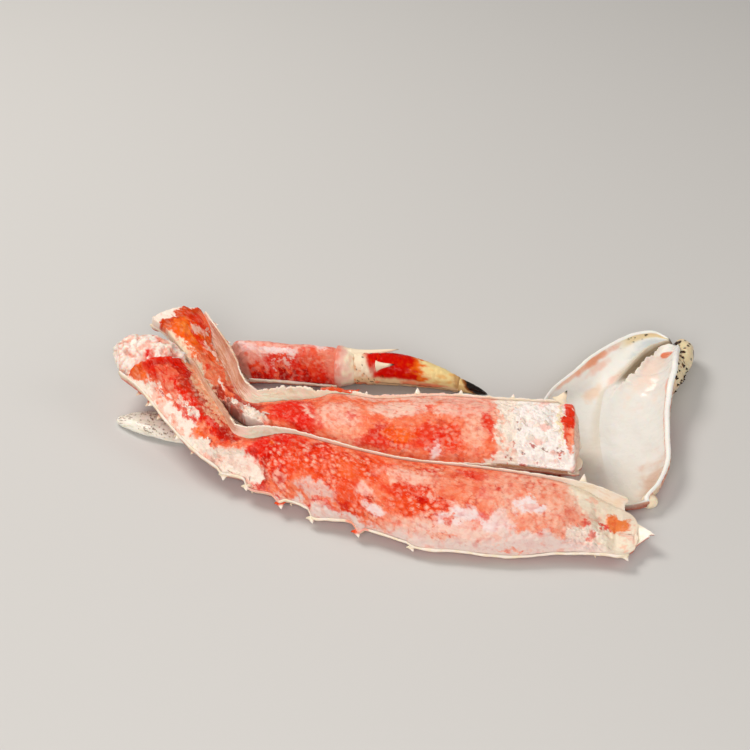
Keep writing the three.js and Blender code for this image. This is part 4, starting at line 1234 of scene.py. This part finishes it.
scatter_scraps(front_meat, front_top, 26, 38, 0.4, 0.52, 8, 1.3, WHITE, 41)
scatter_scraps(front_meat, front_top, 46, 62, 0.1, 0.4, 5, 1.4, WHITE, 43)
scatter_scraps(front_meat, front_top, 232, 244, 0.2, 0.38, 8, 1.2, WHITE, 44)
front_meat.make("front_leg_meat", MEAT, ["leg_front_carpus_meat", "leg_front_merus_meat"])
end_lump = Body()
flaked_end(end_lump, front_leg)
end_lump.make("front_leg_end_meat", FLAKES, ["leg_front_end_meat"])

# Rear leg
rear_leg = LegForm(
    REAR_LEG, [(-8, 0.08), (5, 0.04), (18, -0.04), (50, -0.06), (80, -0.02), (240, 0)],
    [(-8, 0), (60, 0), (70, -0.03), (120, -0.03), (130, 0), (240, 0)],
)
rear_shell = Body()
leg_shell(
    rear_shell, rear_leg,
    start_line=[(0, -4), (0.2, -4), (0.45, -3), (0.7, -1), (1, 1)],
    end_line=[(0, 225), (0.15, 229), (0.5, 230), (0.8, 227), (1, 223)], rim_fray=1.2,
    lower_front=[(-8, 5), (4, 8), (45, 9), (62, 7), (80, 4), (95, 0.5), (180, 0), (200, 1.5), (240, 2)],
    lower_back=[(-8, 0), (56, 0), (66, 2), (110, 2), (126, 0), (240, 0)],
    front_tints=[(188, 226, tone(164, 112, 74), 0.95)],
    back_tints=[(14, 44, tone(206, 150, 110), 0.6), (125, 170, SALMON, 0.3)],
    # The beige-brown, brown and dark red stains on the inner back wall are its fibres with painted shade over
    # them; the pale green one offsets pink light bounced from the meat.
    stains=[
        (4, 62, 0.5, 1.1, tone(196, 138, 104), 0.9), (14, 56, 0.56, 0.74, tone(176, 104, 72), 0.6),
        (30, 62, 0.45, 0.62, DEEP_RED, 0.6), (58, 124, 0.6, 1.1, tone(226, 255, 232), 1),
    ],
    folds=[(56, 120, 0.6, 1.1, 0.5)],
    marks=[
        # the brown mark from 59 to 69 is the knee hollow's reddish tissue with painted shade over it
        (50, 76, -0.3, 0.6, tone(240, 228, 214), 0.9), (59, 69, 0.04, 0.3, tone(150, 72, 56), 0.75),
        (69, 77, -0.1, 0.3, tone(224, 62, 24), 0.85),
    ],
)
rim_spines(
    rear_shell, rear_leg,
    [
        (10, "back", 2.4, 0.3, True), (24, "back", 2.2, 0.3, True), (126, "back", 3.4, 0.2, False),
        (152, "back", 6, 0, False), (173, "back", 4.4, 0.1, False), (198, "back", 3.6, 0.2, False),
    ],
)
wall_spines(
    rear_shell, rear_leg,
    [(0.86, 112, 222, 16, 2.8), (0.74, 70, 222, 19, 2.4), (0.15, 70, 220, 21, 2)], 29,
)
strand_draw = np.random.default_rng(23)
for at in (105, 108.5, 111, 114, 116.5, 119.5):
    rim = rear_leg.track.frame_at(at)
    foot = rim["back"] + 0.9 * rim["across"] + (1.6 - 0.06 * (at - 105)) * rim["down"]
    way = rim["along"] + (strand_draw.random() - 0.4) * rim["across"]
    add_flake(rear_shell, foot, way, rim["across"], (3.4, 0.8, 0.5), tone(226, 74, 16), 0.6, 20, 8)
rim = rear_leg.track.frame_at(221)
foot = rim["back"] + 0.6 * rim["down"]
way = 0.6 * rim["across"] - 0.5 * rim["down"] + 0.5 * rim["along"]
add_spine(rear_shell, foot, way, 5.6, 3.8, DARK, CREAM, tip_from=0.66, wide_way=rim["along"], flat=0.6)
rear_shell.make("rear_leg_shell", SHELL, ["leg_rear_carpus_shell", "leg_rear_merus_shell"])
rear_patches = [
    (-4, 36, 0.1, 0.8, ORANGE, 0.95), (2, 18, 0.3, 0.5, AMBER, 0.35, 0, 0.5),
    (-3, 12, 0.56, 0.9, RED, 0.8, 10), (-20, 3.2, -0.5, 1.3, tone(214, 70, 20), 0.95, 16, 0.06),
    (-20, 0.2, -0.5, 1.2, WHITE, 1, 16, 0.06), (-2, 60, -0.15, 0.13, CREAM, 0.95),
    (9, 14, 0.55, 0.7, BLUSH, 0.9), (17, 26, 0.55, 0.75, BLUSH, 0.9),
    (10, 20, 0.45, 0.6, RED, 0.8, 15), (20, 46, 0.25, 0.6, SALMON, 0.6),
    (20, 62, 0.66, 1.1, BEIGE, 0.85, 0, 0.15), (24, 44, 0.16, 0.52, tone(238, 140, 98), 0.75, 12, 0.5),
    (32, 36, 0.2, 0.3, RED, 0.8), (42, 52, 0.3, 0.42, WHITE, 0.9), (46, 56, 0.1, 0.3, DEEP_RED, 0.8),
    (46, 76, 0.42, 0.66, DEEP_RED, 0.85), (57, 77, -0.1, 0.42, WHITE, 1),
    # the two brown patches from 56 to 68 at the front edge are the knee hollow's reddish tissue with painted
    # shade over them
    (61, 68, 0.1, 0.3, tone(176, 100, 80), 0.6), (56, 68, -0.3, 0.13, tone(146, 66, 50), 0.9),
    (71, 76, -0.2, 0.08, RED, 0.9), (76, 104, 0.18, 0.78, RED, 0.95, -12),
    (90, 106, 0.15, 0.45, RED, 0.8), (92, 104, 0.47, 0.57, BLUSH, 0.8, -50, 0.4),
    (103, 124, 0.3, 0.76, tone(247, 200, 180), 0.75, 20, 0.45),
    (108, 113, 0.4, 0.5, tone(240, 120, 84), 0.6, 40),
    (114, 119, 0.56, 0.66, tone(240, 120, 84), 0.6, -30),
    (112, 127, 0.12, 0.4, tone(246, 178, 146), 0.8, 0, 0.5), (100, 126, 0.74, 0.88, PINK, 0.9),
    (117, 123, 0.5, 0.6, RED, 0.7), (128, 142, 0.2, 0.44, tone(212, 16, 6), 0.85),
    (119, 151, 0.14, 0.25, RED, 0.7), (137, 152, 0.2, 0.42, ORANGE, 0.8),
    (129, 151, 0.55, 0.82, BLUSH, 0.9), (110, 205, 0.86, 1.1, BLUSH, 0.8, 0, 0.2),
    (149, 168, 0.14, 0.46, RED, 0.75), (159, 171, 0.18, 0.32, RED, 0.8),
    (157, 163, 0.07, 0.2, CLOUD, 0.85, 0, 0.4), (145, 161, 0.6, 0.9, BLUSH, 0.85),
    (155, 161, 0.66, 0.74, SALMON, 0.8), (161, 169, 0.58, 0.72, BLUSH, 0.85),
    (164, 190, 0.52, 0.98, tone(249, 186, 168), 0.85), (183, 188.5, 0.28, 0.66, RED, 0.8, 8),
    (164, 176, 0.12, 0.46, tone(238, 60, 10), 0.8),
    (176, 184, 0.1, 0.6, tone(250, 184, 156), 0.85, 0, 0.5), (180, 198, 0.04, 0.2, PINK, 0.7),
    (189, 204, -0.2, 1.2, tone(248, 200, 178), 0.95, 0, 0.3),
    (196, 240, -0.9, 1.9, END_WHITE, 1, 0, 0.06), (213, 222, 0.6, 0.82, GREY, 0.5),
    (217, 236, -0.2, 1.2, END_WHITE, 1, 0, 0.1),
    (222.6, 230, 0.24, 0.93, tone(234, 76, 14), 0.95, 0, 0.1),
    (223, 228.6, 0.55, 0.92, tone(222, 36, 0), 0.85, 0, 0.2),
    (225, 229, 0.26, 0.56, tone(246, 160, 124), 0.85, 0, 0.3),
    (219.6, 221.8, 0.14, 0.19, tone(196, 40, 20), 0.8),
    (220.6, 222.4, 0.3, 0.95, tone(238, 220, 172), 0.8), (200, 219, -0.06, 0.03, BROWN, 0.5),
]
border_draw = np.random.default_rng(61)
for _ in range(26):
    at = 190 + 9 * border_draw.random()
    share = border_draw.random()
    length = 1.5 + 3 * border_draw.random()
    rear_patches.append((at - length, at + length, share - 0.07, share + 0.07, WHITE, 0.9))
flake_specks = [
    (199, 0.55), (203, 0.56), (203, 0.43), (199, 0.25), (204, 0.18), (207, 0.3), (213, 0.24),
    (210, 0.12), (196, 0.08), (202, 0.06), (220, 0.2),
]
for turn, (at, share) in enumerate(flake_specks):
    speck = (BROWN, DEEP_RED)[turn % 2]
    rear_patches.append((at - 1, at + 1, share - 0.022, share + 0.022, speck, 0.75))
rear_meat = Body()
rear_top = leg_meat(
    rear_meat, rear_leg,
    start=-5.5, end=229.5, round_start=2.5, round_end=3, caps=(WHITE, tone(248, 212, 192)),
    front_sunk=[(-4, 0.3), (50, 0.3), (60, 0.3), (80, 0.3), (230, 0.4)],
    back_sunk=[
        (-4, 2), (8, 4), (16, 11), (55, 10), (62, 10), (85, 9), (98, 6), (108, 3), (120, 1.6),
        (150, 0.6), (230, 0.6),
    ],
    crown=[
        (-9, 4.6), (10, 4.5), (40, 2.5), (60, 3), (80, 4), (105, 6), (150, 6.5), (190, 6), (215, 5),
        (230, 4),
    ],
    relief=[
        (-20, 3.4, -0.5, 1.3, 16, 0.12, 0.6), (-20, 0.4, -0.5, 1.3, 16, 0.2, -1.2),
        (54, 80, -0.2, 0.36, 0, 0.3, 3.5), (76, 104, 0.2, 0.75, -12, 0.3, 1.6),
        (192, 222, -0.1, 1.1, 0, 0.2, -0.8), (46, 60, 0.1, 0.3, 0, 0.3, -1.5),
    ],
    crumbs=[
        (190, 227, -0.2, 1.2, 0, 0.12, 1.1), (54, 78, -0.1, 0.5, 0, 0.3, 1.4),
        (6, 30, 0.72, 1.1, 0, 0.3, 1.2),
    ],
    # under_tints: the meat's front side at the knee, browned as the hollow's reddish tissue with painted
    # shade over it
    curds=[(96, 200, -0.2, 1.2, 0, 0.3, 0.6)], under_tints=[(48, 80, tone(150, 70, 52), 0.85)],
    patches=rear_patches,
)
scatter_scraps(rear_meat, rear_top, 8, 30, 0.8, 1, 14, 1.4, BLUSH, 51)
scatter_scraps(rear_meat, rear_top, 56, 76, 0.05, 0.5, 14, 1.7, WHITE, 54)
scatter_scraps(rear_meat, rear_top, 192, 222, 0.05, 0.95, 26, 1.6, WHITE, 55)
rear_meat.make("rear_leg_meat", MEAT, ["leg_rear_carpus_meat", "leg_rear_merus_meat"])

# Leg tip
tip_leg = LegForm(TIP_SEGMENT)
tip_shell = Body()
leg_shell(
    tip_shell, tip_leg,
    start_line=[(0, 0), (0.5, -1), (1, 0)], end_line=[(0, 54.4), (0.5, 54), (1, 54.4)], rim_fray=0.6,
    lower_front=[(-8, 3.2), (70, 4.2)], lower_back=[(-8, 0), (70, 0)], red=1,
)
tip_shell.make("leg_tip_shell", SHELL, ["leg_tip_propodus_shell"])
tip_meat = Body()
leg_meat(
    tip_meat, tip_leg,
    start=0.2, end=54, roundness=2.2, round_start=4, round_end=0.8, caps=(tone(244, 170, 150), BLUSH),
    front_sunk=[(-1, 2.4), (60, 3.4)], back_sunk=[(-1, 0.8), (60, 0.8)],
    crown=[(-1, 13), (6, 14.5), (30, 15), (48, 15), (56, 13.5)],
    curds=[(-10, 70, 0.2, 1.2, 0, 0.3, 0.5)],
    patches=[
        (-5, 60, -0.3, 0.3, RED, 0.95), (-5, 60, -0.3, 0.12, tone(172, 6, 0), 0.9),
        (-6, 26, 0.2, 1.3, tone(243, 172, 158), 0.9), (18, 52, 0.28, 1.3, tone(243, 166, 152), 0.85),
        (10, 34, 0.24, 0.42, tone(248, 216, 208), 0.85), (2, 14, 0.1, 0.2, SALMON, 0.7),
        (33, 45, 0.16, 0.42, tone(238, 82, 46), 0.85), (20, 30, 0.12, 0.2, PINK, 0.7),
        (47, 60, 0.05, 1, tone(240, 140, 118), 0.7), (12, 34, 0.32, 0.46, CLOUD, 0.7),
        (1, 10, 0.34, 0.6, CLOUD, 0.6), (38, 50, 0.5, 0.8, CLOUD, 0.7),
        (-4, 50, -0.3, 0.1, tone(168, 4, 0), 0.9), (24, 44, 0.7, 0.95, PINK, 0.6),
    ],
)
tip_meat.make("leg_tip_meat", MEAT, ["leg_tip_propodus_meat"])


def collar_colours(points, s, turn):
    high = smooth_step(0.3, 0.9, np.sin(turn)) * smooth_step(7, 11, s)
    return paint(
        CREAM,
        (0.9 * smooth_step(7.5, 3.5, s + 3 * noise(points, 5, 3)), tone(240, 180, 166)),
        (0.85 * smooth_step(4.2, 0.8, s + 2.5 * noise(points, 5, 3)), tone(236, 124, 102)),
        (0.6 * smooth_step(0, 0.6, noise(points, 4, 3)), BLUSH),
        (0.7 * high * smooth_step(-0.2, 0.4, noise(points + 9, 3, 3)), AMBER),
    )


def knob_colours(points, s, turn):
    return paint(CREAM, (0.5 * smooth_step(0.1, 0.6, noise(points, 4, 3)), BEIGE))


def dactyl_colours(points, s, turn):
    """Cream base, red-orange middle that turns yellow towards the tip, and a pale keel below."""
    fine = noise(points, 1.6, 3)
    broad = noise(points + 60, 7, 3)
    lifted = np.sin(turn)
    red = smooth_step(9, 15, s + 4 * broad + 4 * lifted)
    streaks = noise(points * [0.3, 1, 1] + 90, 2.2, 3)
    to_tip = s + 3 * broad + 3 * lifted + 5 * streaks
    low = smooth_step(0.12, -0.12, lifted + 0.1 * broad)
    edge = smooth_step(0.1, 0.0, np.abs(lifted + 0.42)) * smooth_step(12, 18, s)
    early = smooth_step(20, 14, s) * smooth_step(0.1, 0.3, red + 0.4)
    return paint(
        CREAM,
        (0.75 * smooth_step(-0.1, 0.5, broad + 0.4 * fine), tone(222, 138, 74)),
        (red, tone(204, 8, 0)),
        (red * 0.25 * smooth_step(0.2, 0.6, fine), tone(240, 70, 0)),
        (0.8 * smooth_step(33, 38, to_tip), tone(240, 116, 24)),
        (0.95 * smooth_step(38, 43, to_tip), tone(244, 222, 158)),
        (0.5 * smooth_step(40, 44, s) * smooth_step(0.1, 0.5, streaks), AMBER),
        (0.6 * smooth_step(54, 57, s + 2 * lifted), tone(166, 96, 36)),
        (low, tone(238, 206, 160)),
        (0.8 * low * smooth_step(0.0, 0.3, noise(points * [0.3, 1, 1], 4, 3)), PINK),
        (0.7 * edge, BROWN),
        (early * smooth_step(0.62, 0.72, fine), DARK),
    )


def nail_colours(points, s, turn):
    """Cream and amber run on from the dactyl, furthest below, into the black nail."""
    edge = 7.5 - 4.5 * np.sin(turn) + 1.2 * noise(points * [0.4, 1, 1], 3, 3)
    return paint(
        DARK,
        (smooth_step(edge + 1.4, edge, s), tone(150, 84, 30)),
        (smooth_step(edge + 0.2, edge - 1.6, s), tone(240, 206, 140)),
    )


collar = Body()
collar_line = [
    (-21, -6.5, 11, 9.6, 10.4), (-18.6, -6.7, 11.1, 10, 10.9), (-15, -6.9, 10.9, 9.4, 10.2),
    (-9.6, -6.9, 10.3, 7.9, 8.5),
]
round_loft(collar, collar_line, collar_colours, rough=0.6, grain=5.0)
collar.make("leg_tip_collar", SHELL, ["leg_tip_collar"])
dactyl = Body()
dactyl_line = [
    (-12.6, -6.9, 10.2, 7.6, 8.2), (-2, -6.8, 10.2, 8.2, 8.8), (12, -7.6, 9.6, 7.8, 8.4),
    (22, -9, 8.6, 7, 7.4), (32, -11.2, 7.2, 5.6, 5.9), (39, -13, 5.8, 4.4, 4.6),
    (44, -14.3, 4.8, 3.6, 3.8),
]
round_loft(dactyl, dactyl_line, dactyl_colours, rough=0.35, grain=2.5)
long_spine = np.array([-12.5, -4.6, 17])
short_spine = np.array([1.5, -12.2, 15.6])
add_spine(dactyl, long_spine, (1, 0.02, 0.1), 24.5, 3, DARK, CREAM, bend=(0, 0, 0.6), tip_from=0.86)
add_spine(dactyl, short_spine, (1, -0.15, 0.22), 8.5, 2.5, DARK, CREAM, tip_from=0.62)
dactyl.make("leg_tip_dactyl", TIP, ["leg_tip_dactyl"])
nail = Body()
nail_line = [
    (42.2, -13.9, 5.1, 3.5, 3.7), (49, -15.5, 3.7, 2.5, 2.7), (53.5, -16.8, 2.7, 1.5, 1.7),
    (57.6, -18.1, 1.7, 0.4, 0.4),
]
round_loft(nail, nail_line, nail_colours, rough=0.12)
nail.make("leg_tip_nail", NAIL, ["leg_tip_nail"])


# Claw
def finger_back_colours(points, s, turn):
    """Tan with round dark spots of drawn sizes, most of them near the tip."""
    fine = noise(points + 15, 2.2, 3)
    colours = paint(tone(240, 220, 178), (0.4 * smooth_step(0.2, 0.7, fine), BEIGE))
    draw = np.random.default_rng(17)
    for _ in range(70):
        row = int(len(points) * draw.random() ** 1.5)
        place = points[row, int(points.shape[1] * draw.random())]
        radius = 0.6 + 1.5 * draw.random() ** 2
        gap = np.linalg.norm((points - place) * [1, 0.8, 1], axis=-1) / radius
        colours = paint(colours, (smooth_step(1.15, 0.8, gap + 0.3 * fine), tone(62, 38, 26)))
    return colours


def ridge_colours(points, s, turn):
    return np.broadcast_to(tone(246, 238, 230), points.shape)


claw = Body()
claw_ring, claw_outer_start = claw_shell(claw)
knob_line = [
    (129, -104.6, 4.2, 1, 1), (129, -102.5, 4.4, 3.6, 3.2), (129, -99.5, 4.4, 3.6, 3.2),
    (129, -97.6, 4.2, 1, 1),
]
round_loft(claw, knob_line, knob_colours, rough=0.1)
finger_line = [
    (157, 14.4, 9.6, 1.6, 1.6), (160.2, 12.6, 9.6, 3.8, 3.8), (161.2, 7.5, 9.6, 4.8, 5),
    (159.6, 0, 10, 4.7, 5.8), (156.4, -8, 10.4, 4, 5.6), (152.6, -16, 10.6, 3.2, 4.6),
    (149, -23.5, 10.2, 2, 3), (147.4, -27.5, 10, 1, 1),
]
round_loft(claw, finger_line, finger_back_colours, rough=0.3)
ridge_line = [
    (120.4, -6.8, 7.6, 0.5, 0.4), (122, -10, 6.4, 1.1, 0.9), (123.4, -14, 5.4, 1.3, 1.1),
    (122.4, -18.5, 4.4, 1.3, 1.1), (121.4, -24, 3.8, 1, 0.9), (121, -28, 3.2, 0.5, 0.4),
]
round_loft(claw, ridge_line, ridge_colours, rough=0.15)
claw_draw = np.random.default_rng(5)
for _ in range(110):
    row = int(len(claw_ring) * (0.68 + 0.31 * claw_draw.random()))
    column = claw_outer_start + int(OUTER_POINTS * claw_draw.random() ** 1.6)
    foot = claw_ring[row, column]
    if foot[2] < 4:
        continue
    centre = claw_ring[row].mean(axis=0)
    out = unit(foot - centre + np.array([0, 0, 1.0]))
    add_spine(claw, foot, out, 0.5 + 0.7 * claw_draw.random(), 1.3, DARK, tone(120, 84, 52))
claw_nodes = ["claw_palm_shell", "claw_fixed_finger_shell", "claw_moving_finger_shell"]
claw.make("claw_shell", CLAW, claw_nodes)


# Tip of shell under the front leg
def shell_tip_colours(points, s, turn):
    """Chalky white with a grey-green cast, and lengthways rows of brown specks and scratches."""
    turned = points @ np.array([[0.94, 0.34, 0], [-0.34, 0.94, 0], [0, 0, 1]])
    broad = noise(points + 20, 7, 3)
    streaks = noise(turned * [0.25, 1.4, 1], 1.8, 3)
    rows_of_specks = noise(turned * [0.7, 2.2, 1], 1.4, 3)
    upper = smooth_step(0.1, 0.5, np.sin(turn))
    return paint(
        tone(240, 236, 224),
        (0.5 * smooth_step(0.1, 0.7, streaks), tone(200, 194, 170)),
        (0.9 * smooth_step(0.3, 0.45, rows_of_specks + 0.3 * broad) * upper, tone(112, 84, 58)),
    )


tip_piece = Body()
tip_piece_line = [
    (-129.5, -37.5, 1.6, 2, 1.3), (-124, -39.5, 2.4, 5, 2.3), (-116, -41.5, 3, 8, 3),
    (-107, -44, 3.2, 9.2, 3.2), (-98, -47, 3, 9.5, 3), (-90, -50, 2.2, 7.5, 2.2),
]
round_loft(tip_piece, tip_piece_line, shell_tip_colours, rough=0.3, grain=5)
tip_piece.make("shell_tip_piece", CLAW, ["shell_tip_piece"])

# Floor, lights and camera
floor_mesh = bpy.data.meshes.new("floor")
floor_mesh.from_pydata([(-3, -3, 0), (3, -3, 0), (3, 3, 0), (-3, 3, 0)], [], [(0, 1, 2, 3)])
floor = bpy.data.objects.new("floor", floor_mesh)
bpy.context.scene.collection.objects.link(floor)
floor_material = bpy.data.materials.new("floor")
floor_material.use_nodes = True
floor_shader = floor_material.node_tree.nodes["Principled BSDF"]
floor_shader.inputs["Base Color"].default_value = (0.62, 0.61, 0.6, 1)
floor_shader.inputs["Roughness"].default_value = 0.85
floor_mesh.materials.append(floor_material)


def area_light(name, place, target, width, depth, power, colour):
    data = bpy.data.lights.new(name, "AREA")
    data.shape = "RECTANGLE"
    data.size = width
    data.size_y = depth
    data.energy = power
    data.color = colour
    lamp = bpy.data.objects.new(name, data)
    lamp.location = place
    lamp.rotation_euler = (Vector(target) - Vector(place)).to_track_quat("-Z", "Y").to_euler()
    bpy.context.scene.collection.objects.link(lamp)


area_light("key", (-0.55, 0.45, 0.9), (0, 0, 0), 0.5, 0.4, 7.5, (1, 0.96, 0.9))
area_light("side", (0.9, -0.1, 0.7), (0, 0, 0), 0.5, 0.5, 2, (1, 0.96, 0.9))
area_light("fill", (-0.15, -0.95, 0.7), (0, 0, 0), 0.8, 0.6, 8.5, (1, 0.97, 0.93))
world = bpy.data.worlds.new("studio")
world.use_nodes = True
world.node_tree.nodes["Background"].inputs["Color"].default_value = (1, 0.98, 0.95, 1)
world.node_tree.nodes["Background"].inputs["Strength"].default_value = 0.2
bpy.context.scene.world = world
bpy.context.scene.view_settings.view_transform = "Standard"

camera_data = bpy.data.cameras.new("camera")
camera_data.lens = 76.8
camera_data.sensor_width = 36
camera = bpy.data.objects.new("camera", camera_data)
camera.location = (-0.0164, -0.5917, 0.519)
camera.rotation_euler = (math.radians(51.5), 0, 0)
bpy.context.scene.collection.objects.link(camera)
bpy.context.scene.camera = camera
